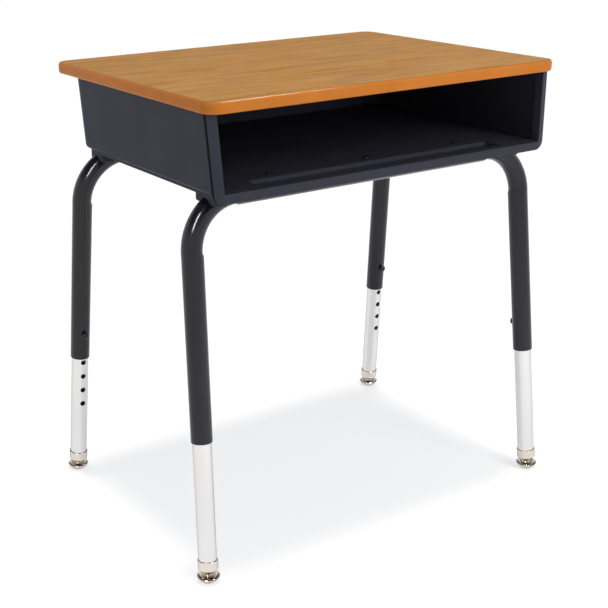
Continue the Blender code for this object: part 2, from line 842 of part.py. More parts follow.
def domed_screw(name, finish, shank, head, head_height, length, sides, parts):
    """Screw along its own Z axis: a domed head above z = 0 and a plain shank below it."""
    radius = head / 2
    edge = head_height * HEAD_EDGE_SHARE
    dome = [
        (radius * math.sin(angle), edge + (head_height - edge) * math.cos(angle))
        for angle in quarter_turn(ROUND_STEPS)
    ]
    profile = dome + [(radius, 0.0), (shank / 2, 0.0), (shank / 2, -length), (0.0, -length)]
    return dress(turned(name, profile, sides, parts), finish)


def build_legs(parts, tools):
    """Four telescoping legs: insert, ferrule, height screw, glide stem and glide dish on each leg axis."""
    for end, end_sign in ENDS.items():
        for side, side_sign in SIDES.items():
            label = f"{end}_{side}"
            foot, up, _ = leg_line(side_sign, end_sign)
            axis = bpy.data.objects.new(f"leg_axis_{label}", None)
            parts.objects.link(axis)
            axis.matrix_world = pointing(foot, up)
            bpy.context.view_layer.update()

            screw_at = screw_distance(side_sign, end_sign)
            facing = screw_direction(side_sign, end_sign)
            local_facing = axis.matrix_world.to_3x3().inverted() @ facing
            row = [screw_at + HOLE_PITCH * step for step in range(-HOLES_BELOW, HOLES_ABOVE + 1)]
            holes = [distance for distance in row if distance > FERRULE_TOP + HOLE_MARGIN]
            insert = insert_tube(f"leg_insert_{label}", holes, local_facing, parts, tools)
            cup = ferrule(f"ferrule_{label}", parts)
            stem = glide_stem(f"glide_stem_{label}", parts)
            for piece in (insert, cup, stem):
                place(piece, axis.matrix_world, axis)

            dish = glide_dish(f"glide_dish_{label}", parts)
            place(dish, Matrix.Translation(foot), axis)

            head_seat = TUBE_RADIUS + SCREW_BACK_OFF
            screw = domed_screw(
                f"height_screw_{label}", BLACK_SCREW, SCREW_SHANK, SCREW_HEAD, SCREW_HEAD_HEIGHT,
                head_seat - INSERT_RADIUS - SEAT_GAP, TURNED_SIDES, parts,
            )
            place(screw, pointing(foot + up * screw_at + facing * head_seat, facing))


def build_small_screws(parts):
    """Screws that hold the book box to the top, and the tube frames to the book box."""
    head = (SMALL_SHANK, SMALL_HEAD, SMALL_HEAD_HEIGHT)
    head_seat = FLANGE_UNDER - SEAT_GAP
    down = Vector((0.0, 0.0, -1.0))
    for name, (x, y) in top_screw_places().items():
        screw = domed_screw(name, ZINC, *head, TOP_SCREW_TIP - head_seat, SCREW_SIDES, parts)
        place(screw, pointing(Vector((x, y, head_seat)), down))
    for name, (x, y) in frame_screw_places().items():
        screw = domed_screw(name, BLACK_SCREW, *head, FRAME_SCREW_LENGTH, SCREW_SIDES, parts)
        place(screw, Matrix.Translation((x, y, FLOOR_TOP + SEAT_GAP)))


def main():
    """Build the desk."""
    clear_scene()
    parts = new_collection("study_desk")
    tools = new_collection("study_desk_cutters")
    build_top(parts, tools)
    build_book_box(parts, tools)
    build_frames(parts, tools)
    build_legs(parts, tools)
    build_small_screws(parts)


main()
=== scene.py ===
"""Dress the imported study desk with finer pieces, finishes, a stage, soft light and a camera."""

from __future__ import annotations

import json
import logging
import math
from dataclasses import dataclass
from enum import Enum
from typing import Any, Iterable, Sequence

import bmesh
import bpy
from bmesh.types import BMEdge, BMVert
from bpy.types import Material, Node, NodeSocket, NodeTree, Object
from mathutils import Matrix, Vector

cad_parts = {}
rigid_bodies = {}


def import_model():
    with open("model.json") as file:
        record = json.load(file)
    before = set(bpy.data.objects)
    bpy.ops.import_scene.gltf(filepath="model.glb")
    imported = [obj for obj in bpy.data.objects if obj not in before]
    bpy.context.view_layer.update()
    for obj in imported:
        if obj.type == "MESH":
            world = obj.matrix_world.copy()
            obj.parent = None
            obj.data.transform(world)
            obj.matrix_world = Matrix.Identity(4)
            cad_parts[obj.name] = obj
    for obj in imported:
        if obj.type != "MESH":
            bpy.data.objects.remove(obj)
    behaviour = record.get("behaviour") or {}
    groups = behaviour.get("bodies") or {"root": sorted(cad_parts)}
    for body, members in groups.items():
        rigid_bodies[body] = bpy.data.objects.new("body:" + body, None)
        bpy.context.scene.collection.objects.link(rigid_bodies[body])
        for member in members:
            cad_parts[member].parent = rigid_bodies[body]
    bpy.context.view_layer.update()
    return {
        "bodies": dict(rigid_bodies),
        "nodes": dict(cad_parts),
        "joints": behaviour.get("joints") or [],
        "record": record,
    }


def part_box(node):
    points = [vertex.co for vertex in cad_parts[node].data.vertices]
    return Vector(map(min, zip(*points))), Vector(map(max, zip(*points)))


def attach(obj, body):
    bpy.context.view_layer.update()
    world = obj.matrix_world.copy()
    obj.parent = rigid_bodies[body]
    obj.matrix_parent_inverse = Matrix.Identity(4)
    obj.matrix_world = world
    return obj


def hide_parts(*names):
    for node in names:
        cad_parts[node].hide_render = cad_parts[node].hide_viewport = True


Pair = tuple[float, float]
Triple = tuple[float, float, float]
Colour = tuple[float, float, float, float]

LOG = logging.getLogger("study_desk")
WELD = 0.00001
LEVEL = 0.99
FACING = 0.9
SHARP_ANGLE = math.radians(38.0)
QUARTER = math.pi / 2
WHOLE: Pair = (0.0, 1.0)
MIDDLE: Pair = (0.3, 0.7)
SMEARED: Pair = (0.32, 0.68)
WHITE: Colour = (1.0, 1.0, 1.0, 1.0)
ORIGIN = Vector((0.0, 0.0, 0.0))
X_AXIS = Vector((1.0, 0.0, 0.0))
Y_AXIS = Vector((0.0, 1.0, 0.0))
Z_AXIS = Vector((0.0, 0.0, 1.0))


class Slot(Enum):
    """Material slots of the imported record."""

    OAK = "oak_laminate"
    BAND = "amber_edge_band"
    CORE = "chipboard"
    BACKER = "brown_backer"
    PLASTIC = "black_plastic"
    TUBE = "charcoal_powder_coat"
    CHROME = "bright_chrome"
    NICKEL = "warm_nickel"
    BLACK_SCREW = "black_screw"
    ZINC_SCREW = "zinc_screw"


class Corner(Enum):
    """The four legs by the corner that each stands at."""

    FRONT_LEFT = "front_left"
    FRONT_RIGHT = "front_right"
    REAR_LEFT = "rear_left"
    REAR_RIGHT = "rear_right"


class End(Enum):
    """The two ends of the desk, with the way of Y that each lies."""

    FRONT = -1
    REAR = 1


def screen(red: int, green: int, blue: int) -> Colour:
    """Linear colour, with full alpha, of a screen colour whose parts run from 0 to 255."""
    shares = [value / 255.0 for value in (red, green, blue)]
    return (*(s / 12.92 if s <= 0.04045 else ((s + 0.055) / 1.055) ** 2.4 for s in shares), 1.0)


def pointing(origin: Vector, direction: Vector) -> Matrix:
    """Matrix that puts a piece's origin at a point and its Z axis along a direction."""
    return Matrix.Translation(origin) @ direction.to_track_quat("Z", "Y").to_matrix().to_4x4()


def only_verts(items: Iterable[Any]) -> list[BMVert]:
    """Corners among the geometry that an operator made."""
    return [item for item in items if isinstance(item, BMVert)]


def level_parts(parts: Iterable[Any], height: float) -> list[Any]:
    """Edges or faces that lie at a height."""
    return [part for part in parts if all(abs(vert.co.z - height) < WELD for vert in part.verts)]


def lowest(part: Any) -> float:
    """Height of an edge's or a face's lowest corner."""
    return min(vert.co.z for vert in part.verts)


def rise(edge: BMEdge) -> float:
    """Difference in height between an edge's ends."""
    return abs(edge.verts[0].co.z - edge.verts[1].co.z)


def put(name: str, data: Any) -> Object:
    """Put a new object into the scene.

    Args:
        name: The object's name.
        data: Its mesh, light or camera.

    Returns:
        The object.
    """
    obj = bpy.data.objects.new(name, data)
    bpy.context.scene.collection.objects.link(obj)
    return obj


class Graph:
    """A node tree with short calls for adding and wiring its nodes."""

    def __init__(self, tree: NodeTree) -> None:
        """Take the tree to wire."""
        self.tree = tree

    def add(self, kind: str, inputs: dict[Any, Any] | None = None, **options: Any) -> Node:
        """Add a node, set its options and fill its inputs.

        Args:
            kind: The node's type name.
            inputs: A value or an output socket for each input, by name or number.
            options: Properties of the node.

        Returns:
            The new node.
        """
        node = self.tree.nodes.new(kind)
        for name, value in options.items():
            setattr(node, name, value)
        self.feed(node, inputs or {})
        return node

    def feed(self, node: Node, inputs: dict[Any, Any]) -> None:
        """Fill a node's inputs with values or links.

        Args:
            node: The node to fill.
            inputs: A value or an output socket for each input, by name or number.
        """
        for name, value in inputs.items():
            socket = node.inputs[name]
            if isinstance(value, NodeSocket):
                self.tree.links.new(value, socket)
            else:
                socket.default_value = value

    def noise(self, vector: NodeSocket, scale: Any, detail: float) -> NodeSocket:
        """Noise over a vector, at a scale that may be a socket, with a number of finer layers."""
        inputs = {"Vector": vector, "Scale": scale, "Detail": detail}
        return self.add("ShaderNodeTexNoise", inputs).outputs["Fac"]

    def stretched(self, vector: NodeSocket, scale: Triple) -> NodeSocket:
        """Vector scaled on each axis."""
        return self.add("ShaderNodeMapping", {"Vector": vector, "Scale": scale}).outputs["Vector"]

    def ranged(self, value: Any, source: Pair, target: tuple[Any, Any]) -> NodeSocket:
        """Value mapped from a source range to a target range, of numbers or sockets, and held inside it."""
        names = ("Value", "From Min", "From Max", "To Min", "To Max")
        return self.add("ShaderNodeMapRange", dict(zip(names, (value, *source, *target)))).outputs["Result"]

    def blend(self, share: Any, first: Any, second: Any) -> NodeSocket:
        """Two colours mixed by the second one's share, on the node's colour sockets."""
        return self.add("ShaderNodeMix", {0: share, 6: first, 7: second}, data_type="RGBA").outputs[2]

    def combined(self, first: Any, second: Any, operation: str) -> NodeSocket:
        """Two values combined by a named operation."""
        return self.add("ShaderNodeMath", {0: first, 1: second}, operation=operation).outputs[0]


@dataclass(frozen=True)
class Effects:
    """Shader node groups that several finishes share, each with one output."""

    tone: NodeTree
    marks: NodeTree
    grain: NodeTree

    @staticmethod
    def start(name: str, inputs: dict[str, str], output: str, kind: str) -> tuple[Graph, Any, Node]:
        """Open a node group with its sockets.

        Args:
            name: The group's name.
            inputs: Kind of each input besides the vector.
            output: Name of the output.
            kind: Kind of the output.

        Returns:
            The group's graph, the sockets it is given and its output node.
        """
        tree = bpy.data.node_groups.new(name, "ShaderNodeTree")
        for label, given in ({"Vector": "Vector"} | inputs).items():
            tree.interface.new_socket(name=label, in_out="INPUT", socket_type=f"NodeSocket{given}")
        tree.interface.new_socket(name=output, in_out="OUTPUT", socket_type=f"NodeSocket{kind}")
        graph = Graph(tree)
        return graph, graph.add("NodeGroupInput").outputs, graph.add("NodeGroupOutput")

    @classmethod
    def tone_drift(cls) -> NodeTree:
        """Build the group that drifts between two near tones.

        Returns:
            The group.
        """
        inputs = {"Scale": "Float", "First": "Color", "Second": "Color"}
        graph, given, out = cls.start("tone_drift", inputs, "Colour", "Color")
        share = graph.ranged(graph.noise(given["Vector"], given["Scale"], detail=4.0), MIDDLE, WHOLE)
        graph.feed(out, {"Colour": graph.blend(share, given["First"], given["Second"])})
        return graph.tree

    @classmethod
    def handling_marks(cls) -> NodeTree:
        """Build the group that smears the gloss between its least and most.

        Returns:
            The group.
        """
        inputs = {"Scale": "Float", "Least": "Float", "Most": "Float"}
        graph, given, out = cls.start("handling_marks", inputs, "Roughness", "Float")
        smear = graph.noise(given["Vector"], given["Scale"], detail=5.0)
        rough = graph.ranged(smear, SMEARED, (given["Least"], given["Most"]))
        graph.feed(out, {"Roughness": rough})
        return graph.tree

    @classmethod
    def fine_grain(cls, finer: float = 2.7, share: float = 0.4) -> NodeTree:
        """Build the group that lays a finer and weaker noise over a coarse one.

        Args:
            finer: Scale of the finer noise, in times that of the coarse one.
            share: Its height, in times that of the coarse one.

        Returns:
            The group.
        """
        graph, given, out = cls.start("fine_grain", {"Scale": "Float"}, "Height", "Float")
        coarse = graph.noise(given["Vector"], given["Scale"], detail=1.0)
        scale = graph.combined(given["Scale"], finer, "MULTIPLY")
        fine = graph.combined(graph.noise(given["Vector"], scale, detail=1.0), share, "MULTIPLY")
        graph.feed(out, {"Height": graph.combined(coarse, fine, "ADD")})
        return graph.tree

    @classmethod
    def build(cls) -> Effects:
        """Build the groups once."""
        return cls(cls.tone_drift(), cls.handling_marks(), cls.fine_grain())


class Skin(Graph):
    """A material's graph, with Object coordinates and the shared groups at hand."""

    def __init__(self, material: Material, effects: Effects) -> None:
        """Start the graph of a material.

        Args:
            material: The material to wire.
            effects: The shared groups.
        """
        super().__init__(material.node_tree)
        self.effects = effects
        self.spot = self.add("ShaderNodeTexCoord").outputs["Object"]

    def group(self, tree: NodeTree, inputs: dict[str, Any]) -> NodeSocket:
        """Output of a shared group that is read at the Object coordinates."""
        return self.add("ShaderNodeGroup", {"Vector": self.spot} | inputs, node_tree=tree).outputs[0]


@dataclass(frozen=True)
class Finish:
    """A painted, moulded or plated finish: two near tones, a gloss range and a fine grain."""

    label: str
    colour: Colour
    drift: Colour
    roughness: Pair
    metallic: float = 0.0
    specular: float = 0.5
    rim: float = 1.0
    tone_scale: float = 9.0
    mark_scale: float = 14.0
    grain_scale: float = 1400.0
    grain_depth: float = 0.00003

    def tint(self, skin: Skin) -> NodeSocket:
        """Colour over the surface."""
        inputs = {"Scale": self.tone_scale, "First": self.colour, "Second": self.drift}
        return skin.group(skin.effects.tone, inputs)

    def relief(self, skin: Skin) -> NodeSocket:
        """Height of the fine grain."""
        return skin.group(skin.effects.grain, {"Scale": self.grain_scale})

    def build(self, effects: Effects) -> Material:
        """Build the material.

        Args:
            effects: The shared groups.

        Returns:
            The material.
        """
        material = bpy.data.materials.new(self.label)
        material.use_nodes = True
        material.diffuse_color = self.colour
        skin = Skin(material, effects)
        least, most = self.roughness
        marks = {"Scale": self.mark_scale, "Least": least, "Most": most}
        bump = {"Strength": 1.0, "Distance": self.grain_depth, "Height": self.relief(skin)}
        skin.feed(
            material.node_tree.nodes["Principled BSDF"],
            {
                "Base Color": self.tint(skin),
                "Roughness": skin.group(effects.marks, marks),
                "Normal": skin.add("ShaderNodeBump", bump).outputs["Normal"],
                "Metallic": self.metallic,
                "Specular IOR Level": self.specular,
                "Specular Tint": (self.rim, self.rim, self.rim, 1.0),
            },
        )
        return material


@dataclass(frozen=True)
class Layer:
    """One layer of a print: stretched noise, the range of it that is read and what comes out."""

    scale: Triple
    detail: float
    source: Pair
    target: Pair = WHOLE

    def value(self, skin: Skin, spot: NodeSocket) -> NodeSocket:
        """The layer's value over the surface."""
        noise = skin.noise(skin.stretched(spot, self.scale), 1.0, self.detail)
        return skin.ranged(noise, self.source, self.target)


@dataclass(frozen=True)
class WoodPrint(Finish):
    """Printed oak: broad bands, long streaks and short pores along X, which all sway a little."""

    streak: Colour = screen(136, 88, 32)
    pore: Colour = screen(118, 76, 34)
    pore_share: float = 0.6
    sway: Layer = Layer((3.0, 9.0, 1.0), 2.0, (0.2, 0.8), (-0.006, 0.006))
    bands: Layer = Layer((2.2, 26.0, 1.0), 3.0, MIDDLE)
    streaks: Layer = Layer((9.0, 420.0, 1.0), 5.0, (0.44, 0.68), (0.0, 0.95))
    pores: Layer = Layer((34.0, 900.0, 1.0), 2.0, (0.56, 0.70))

    def figure(self, skin: Skin) -> NodeSocket:
        """Coordinates that sway across the grain."""
        offset = skin.add("ShaderNodeCombineXYZ", {"Y": self.sway.value(skin, skin.spot)}).outputs["Vector"]
        return skin.add("ShaderNodeVectorMath", {0: skin.spot, 1: offset}, operation="ADD").outputs["Vector"]

    def tint(self, skin: Skin) -> NodeSocket:
        """Colour of the print.

        Args:
            skin: The material's graph.

        Returns:
            The colour's socket.
        """
        figure = self.figure(skin)
        base = skin.blend(self.bands.value(skin, figure), self.colour, self.drift)
        streaked = skin.blend(self.streaks.value(skin, figure), base, self.streak)
        share = skin.combined(self.pores.value(skin, figure), self.pore_share, "MULTIPLY")
        return skin.blend(share, streaked, self.pore)

    def relief(self, skin: Skin) -> NodeSocket:
        """Height of the print, with its pores pressed in."""
        return skin.combined(1.0, self.pores.value(skin, self.figure(skin)), "SUBTRACT")


@dataclass(frozen=True)
class ChipFinish(Finish):
    """Pressed board: flat flakes of several tones."""

    flake_scale: float = 420.0
    flake_shape: Triple = (1.0, 1.0, 2.5)

    def tint(self, skin: Skin) -> NodeSocket:
        """Colour of the flakes.

        Args:
            skin: The material's graph.

        Returns:
            The colour's socket.
        """
        inputs = {"Vector": skin.stretched(skin.spot, self.flake_shape), "Scale": self.flake_scale}
        cells = skin.add("ShaderNodeTexVoronoi", inputs).outputs["Color"]
        tone = skin.add("ShaderNodeSeparateColor", {"Color": cells}).outputs[0]
        return skin.blend(tone, self.colour, self.drift)


def desk_finishes() -> dict[Slot, Finish]:
    """Every finish of the desk.

    Returns:
        The finish for each slot.
    """
    return {
        Slot.OAK: WoodPrint(
            "oak_print", screen(194, 139, 59), screen(187, 132, 52), (0.46, 0.56), specular=0.05,
        ),
        Slot.BAND: Finish(
            "amber_moulding", screen(189, 115, 46), screen(183, 109, 42), (0.13, 0.20), specular=0.06,
            tone_scale=18.0, grain_scale=900.0, grain_depth=0.00002,
        ),
        Slot.CORE: ChipFinish("pressed_chips", screen(186, 150, 104), screen(142, 106, 66), (0.8, 0.9)),
        Slot.BACKER: Finish(
            "brown_paper", screen(96, 58, 34), screen(84, 50, 28), (0.6, 0.72), specular=0.04,
            grain_scale=700.0,
        ),
        Slot.PLASTIC: Finish(
            "black_moulding", screen(57, 57, 67), screen(53, 53, 63), (0.38, 0.48), specular=0.04,
            grain_scale=1500.0, grain_depth=0.00004,
        ),
        Slot.TUBE: Finish(
            "charcoal_powder", screen(22, 21, 33), screen(18, 17, 28), (0.13, 0.20), specular=0.38,
            grain_scale=800.0,
        ),
        Slot.CHROME: Finish(
            "bright_plating", screen(223, 223, 223), screen(218, 218, 218), (0.08, 0.16), metallic=1.0,
            rim=0.6, grain_scale=500.0, grain_depth=0.000006,
        ),
        Slot.NICKEL: Finish(
            "warm_plating", screen(222, 214, 204), screen(214, 204, 192), (0.07, 0.13), metallic=1.0,
            rim=0.6, grain_scale=500.0, grain_depth=0.000008,
        ),
        Slot.BLACK_SCREW: Finish(
            "black_oxide", screen(16, 16, 19), screen(13, 13, 16), (0.26, 0.36), specular=0.35,
            grain_scale=1200.0, grain_depth=0.00001,
        ),
        Slot.ZINC_SCREW: Finish(
            "zinc_plating", screen(120, 118, 114), screen(104, 104, 102), (0.40, 0.52), metallic=1.0,
            grain_scale=900.0, grain_depth=0.00001,
        ),
    }


class Workpiece:
    """A mesh being made: a ring of edges is drawn along and turned, or a block is shaped."""

    def __init__(self, name: str) -> None:
        """Start an empty mesh.

        Args:
            name: The piece's name.
        """
        self.name = name
        self.bm = bmesh.new()
        self.ring: list[BMEdge] = []
        self.walled = False

    def verts_of(self, edges: Sequence[BMEdge]) -> list[BMVert]:
        """Corners of some edges, each once."""
        return list(dict.fromkeys(vert for edge in edges for vert in edge.verts))

    def edges_of(self, verts: Sequence[BMVert]) -> list[BMEdge]:
        """Edges that run between some corners."""
        inside = set(verts)
        return [edge for edge in self.bm.edges if inside.issuperset(edge.verts)]

    def move(self, place: Matrix) -> None:
        """Put the whole mesh in its place."""
        bmesh.ops.transform(self.bm, matrix=place, verts=self.bm.verts)

    def block(self, low: Vector, high: Vector) -> list[BMVert]:
        """Add a box between two corners.

        Args:
            low: Lowest corner.
            high: Highest corner.

        Returns:
            The box's corners.
        """
        verts = bmesh.ops.create_cube(self.bm, size=1.0)["verts"]
        bmesh.ops.scale(self.bm, vec=high - low, verts=verts)
        bmesh.ops.translate(self.bm, vec=(low + high) / 2, verts=verts)
        return verts

    def rod(self, start: Vector, end: Vector, radius: float, sides: int) -> None:
        """Add a closed round rod between two points.

        Args:
            start: First end.
            end: Second end.
            radius: The rod's radius.
            sides: Number of sides.
        """
        axis = end - start
        place = pointing((start + end) / 2, axis.normalized())
        bmesh.ops.create_cone(
            self.bm, cap_ends=True, segments=sides, radius1=radius, radius2=radius, depth=axis.length,
            matrix=place,
        )

    def circle(self, radius: float, sides: int, place: Matrix) -> None:
        """Start the ring as a circle whose axis is the Z axis of its place."""
        made = bmesh.ops.create_circle(self.bm, cap_ends=False, radius=radius, segments=sides, matrix=place)
        self.ring = self.edges_of(made["verts"])

    def section(self, corners: Sequence[Triple], place: Matrix, steps: int) -> None:
        """Start the ring as a flat outline with rounded corners.

        Args:
            corners: Across, up and rounding of each corner, in order.
            place: Where the outline lies; across is X and up is Z.
            steps: Steps in each rounding.
        """
        verts = [self.bm.verts.new(place @ Vector((across, 0.0, up))) for across, up, _ in corners]
        self.bm.faces.new(verts)
        for vert, (_, _, rounding) in zip(verts, corners):
            if rounding > 0.0:
                self.bevel([vert], rounding, steps, "VERTICES")
        bmesh.ops.delete(self.bm, geom=self.bm.faces[:], context="FACES_ONLY")
        self.ring = self.bm.edges[:]

    def draw(self, along: Vector) -> list[BMVert]:
        """Draw the ring straight along a vector.

        Args:
            along: How far and which way.

        Returns:
            The ring's new corners.
        """
        verts = only_verts(bmesh.ops.extrude_edge_only(self.bm, edges=self.ring)["geom"])
        bmesh.ops.translate(self.bm, vec=along, verts=verts)
        self.ring = self.edges_of(verts)
        return verts

    def spin(self, centre: Vector, axis: Vector, angle: float, steps: int, closed: bool) -> list[Any]:
        """Swing the ring round an axis and leave a skin behind it.

        Args:
            centre: A point on the axis.
            axis: The axis.
            angle: How far, in radians.
            steps: Number of steps.
            closed: Whether the last step meets the first.

        Returns:
            The geometry of the last step.
        """
        return bmesh.ops.spin(
            self.bm, geom=self.verts_of(self.ring) + self.ring, cent=centre, axis=axis, dvec=ORIGIN,
            angle=angle, steps=steps, use_merge=closed, use_duplicate=False,
        )["geom_last"]

    def turn(self, centre: Vector, axis: Vector, angle: float, steps: int) -> None:
        """Swing the ring part of the way round an axis, in radians, and go on from there."""
        self.ring = self.edges_of(only_verts(self.spin(centre, axis, angle, steps, False)))

    def lathe(self, corners: Sequence[Triple], place: Matrix, sides: int, steps: int = 3) -> None:
        """Turn an outline through a full circle about the piece's Z axis.

        Args:
            corners: Radius, height and rounding of each corner, in order.
            place: Where the piece goes.
            sides: Number of sides round the axis.
            steps: Steps in each rounding.
        """
        self.section(corners, Matrix.Identity(4), steps)
        self.ring = [edge for edge in self.ring if max(vert.co.x for vert in edge.verts) > WELD]
        self.spin(ORIGIN, Z_AXIS, math.tau, sides, True)
        loose = [edge for edge in self.bm.edges if not edge.link_faces]
        bmesh.ops.delete(self.bm, geom=loose, context="EDGES")
        self.move(place)

    def bevel(self, geom: Iterable[Any], width: float, steps: int, affect: str = "EDGES") -> None:
        """Round some edges or corners.

        Args:
            geom: The edges or corners.
            width: Size of the rounding.
            steps: Steps in the rounding.
            affect: Which of the two they are.
        """
        bmesh.ops.bevel(
            self.bm, geom=list(geom), offset=width, offset_type="OFFSET", segments=steps, profile=0.5,
            affect=affect, material=-1,
        )

    def weld(self) -> None:
        """Merge doubles and turn the faces outwards."""
        bmesh.ops.remove_doubles(self.bm, verts=self.bm.verts, dist=WELD)
        bmesh.ops.recalc_face_normals(self.bm, faces=self.bm.faces)

    def thicken(self, wall: float) -> None:
        """Give a welded, open skin a wall on its inner side."""
        bmesh.ops.solidify(self.bm, geom=self.bm.faces[:], thickness=wall)
        self.walled = True

    def mirror_x(self) -> None:
        """Add the mirrored half across the middle of the desk."""
        geom = self.bm.verts[:] + self.bm.edges[:] + self.bm.faces[:]
        bmesh.ops.mirror(self.bm, geom=geom, matrix=Matrix.Identity(4), merge_dist=WELD, axis="X")

    def to_object(self) -> Object:
        """Close the work and make the object.

        Returns:
            The object, at the origin with its place in its mesh.
        """
        if not self.walled:
            self.weld()
        mesh = bpy.data.meshes.new(self.name)
        self.bm.to_mesh(mesh)
        self.bm.free()
        return put(self.name, mesh)


def cut_away(target: Object, cutter: Workpiece) -> None:
    """Cut one piece's shape out of another.

    Args:
        target: The piece that is cut.
        cutter: The shape that is taken out of it.
    """
    tool = cutter.to_object()
    modifier = target.modifiers.new("cut", "BOOLEAN")
    modifier.operation = "DIFFERENCE"
    modifier.solver = "EXACT"
    modifier.object = tool
    graph = bpy.context.evaluated_depsgraph_get()
    mesh = bpy.data.meshes.new_from_object(target.evaluated_get(graph))
    target.modifiers.clear()
    target.data = mesh
    bpy.data.objects.remove(tool)


@dataclass
class Workshop:
    """The loaded frame and the finishes, and the last step that every new piece goes through."""

    frame: dict[str, Any]
    finishes: dict[Slot, Material]
    count: int = 0

    def paint(self, obj: Object, slot: Slot) -> None:
        """Give an object one finish in place of any other."""
        obj.data.materials.clear()
        obj.data.materials.append(self.finishes[slot])

    def fit(self, obj: Object, slot: Slot, body: str, *nodes: str) -> None:
        """Dress a piece and set it on its body.

        Args:
            obj: The piece.
            slot: Its finish.
            body: The body it moves with.
            nodes: Nodes that it stands for.
        """
        self.paint(obj, slot)
        obj.data.shade_smooth()
        obj.data.set_sharp_from_angle(angle=SHARP_ANGLE)
        even = obj.modifiers.new("even shading", "WEIGHTED_NORMAL")
        even.keep_sharp = True
        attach(obj, body)
        if nodes:
            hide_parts(*nodes)
        self.count += 1
        LOG.info("%s: %d faces on %s", obj.name, len(obj.data.polygons), body)

    def edge(self, obj: Object, slot: Slot) -> None:
        """Give the edge of a dressed sheet another finish.

        Args:
            obj: The sheet, which lies level.
            slot: The edge's finish.
        """
        obj.data.materials.append(self.finishes[slot])
        for face in obj.data.polygons:
            if abs(face.normal.z) < LEVEL:
                face.material_index = 1

    def dress_node(self, name: str, slot: Slot) -> None:
        """Give a carried-over node its finish."""
        self.paint(self.frame["nodes"][name], slot)
        LOG.info("%s: finish %s", name, slot.value)


@dataclass
class LegAxis:
    """A leg's line: the glide's swivel centre, the way up the leg and the way its screw faces."""

    foot: Vector
    up: Vector
    facing: Vector

    @classmethod
    def read(cls, shop: Workshop, corner: Corner) -> LegAxis:
        """Read a leg's line from the frame's joints.

        Args:
            shop: The workshop.
            corner: Which leg.

        Returns:
            The leg's line.
        """
        joints = {joint["name"]: joint for joint in shop.frame["joints"]}
        swivel = joints[f"glide_spin_{corner.value}"]
        travel = joints[f"screw_travel_{corner.value}"]
        up, facing = (Vector(joint["axis"]).normalized() for joint in (swivel, travel))
        return cls(Vector(swivel["pos_m"]), up, facing)


@dataclass
class DeskTop:
    """The board: a printed sheet on its core, with a moulded band round the edge."""

    shop: Workshop
    corner_radius: float = 0.0191
    sheet_ease: float = 0.0007
    round_rise: float = 0.0046
    inner_ease: float = 0.0008
    seat_gap: float = 0.0003
    tongue_length: float = 0.0080
    tongue_thickness: float = 0.0022
    corner_steps: int = 18
    ease_steps: int = 2
    round_steps: int = 7

    def sheet(self) -> None:
        """Make the printed sheet with round corners and an eased upper edge."""
        piece = Workpiece("oak_sheet")
        low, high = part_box("top_laminate")
        piece.block(low, high)
        upright = [edge for edge in piece.bm.edges if rise(edge) > WELD]
        piece.bevel(upright, self.corner_radius, self.corner_steps)
        upper = [edge for edge in piece.bm.edges if lowest(edge) > high.z - WELD]
        piece.bevel(upper, self.sheet_ease, self.ease_steps)
        obj = piece.to_object()
        self.shop.fit(obj, Slot.OAK, "desk", "top_laminate")
        self.shop.edge(obj, Slot.BACKER)

    def band(self) -> None:
        """Make the moulded band: its rounded section goes along four sides and round four corners."""
        piece = Workpiece("edge_moulding")
        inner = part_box("top_laminate")[1]
        low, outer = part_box("edge_band")
        narrowed = (outer.x - inner.x - self.seat_gap) / self.round_rise
        middle = (low.z + outer.z) / 2
        half = (outer.z - low.z) / 2
        tongue = self.tongue_thickness / 2
        root = -(self.tongue_length + self.seat_gap) / narrowed
        corners = [
            (0.0, -half, self.inner_ease),
            (self.round_rise + WELD, -half, self.round_rise),
            (self.round_rise + WELD, half, self.round_rise),
            (0.0, half, self.inner_ease),
            (0.0, tongue, 0.0),
            (root, tongue, 0.0),
            (root, -tongue, 0.0),
            (0.0, -tongue, 0.0),
        ]
        reach = inner.x - self.corner_radius
        deep = inner.y - self.corner_radius
        start = Vector((-reach, -inner.y - self.seat_gap, middle))
        outward = Matrix.Rotation(-QUARTER, 4, "Z") @ Matrix.Diagonal((narrowed, 1.0, 1.0, 1.0))
        piece.section(corners, Matrix.Translation(start) @ outward, self.round_steps)
        sides = (
            (X_AXIS, reach, 1, -1),
            (Y_AXIS, deep, 1, 1),
            (-X_AXIS, reach, -1, 1),
            (-Y_AXIS, deep, -1, -1),
        )
        for direction, half_side, right, rear in sides:
            piece.draw(direction * half_side * 2)
            centre = Vector((right * reach, rear * deep, middle))
            piece.turn(centre, Z_AXIS, QUARTER, self.corner_steps)
        self.shop.fit(piece.to_object(), Slot.BAND, "desk", "edge_band")

    def build(self) -> None:
        """Make the sheet and the band, and finish the board between them."""
        self.sheet()
        self.band()
        self.shop.dress_node("top_core", Slot.CORE)
        self.shop.dress_node("top_backer", Slot.BACKER)


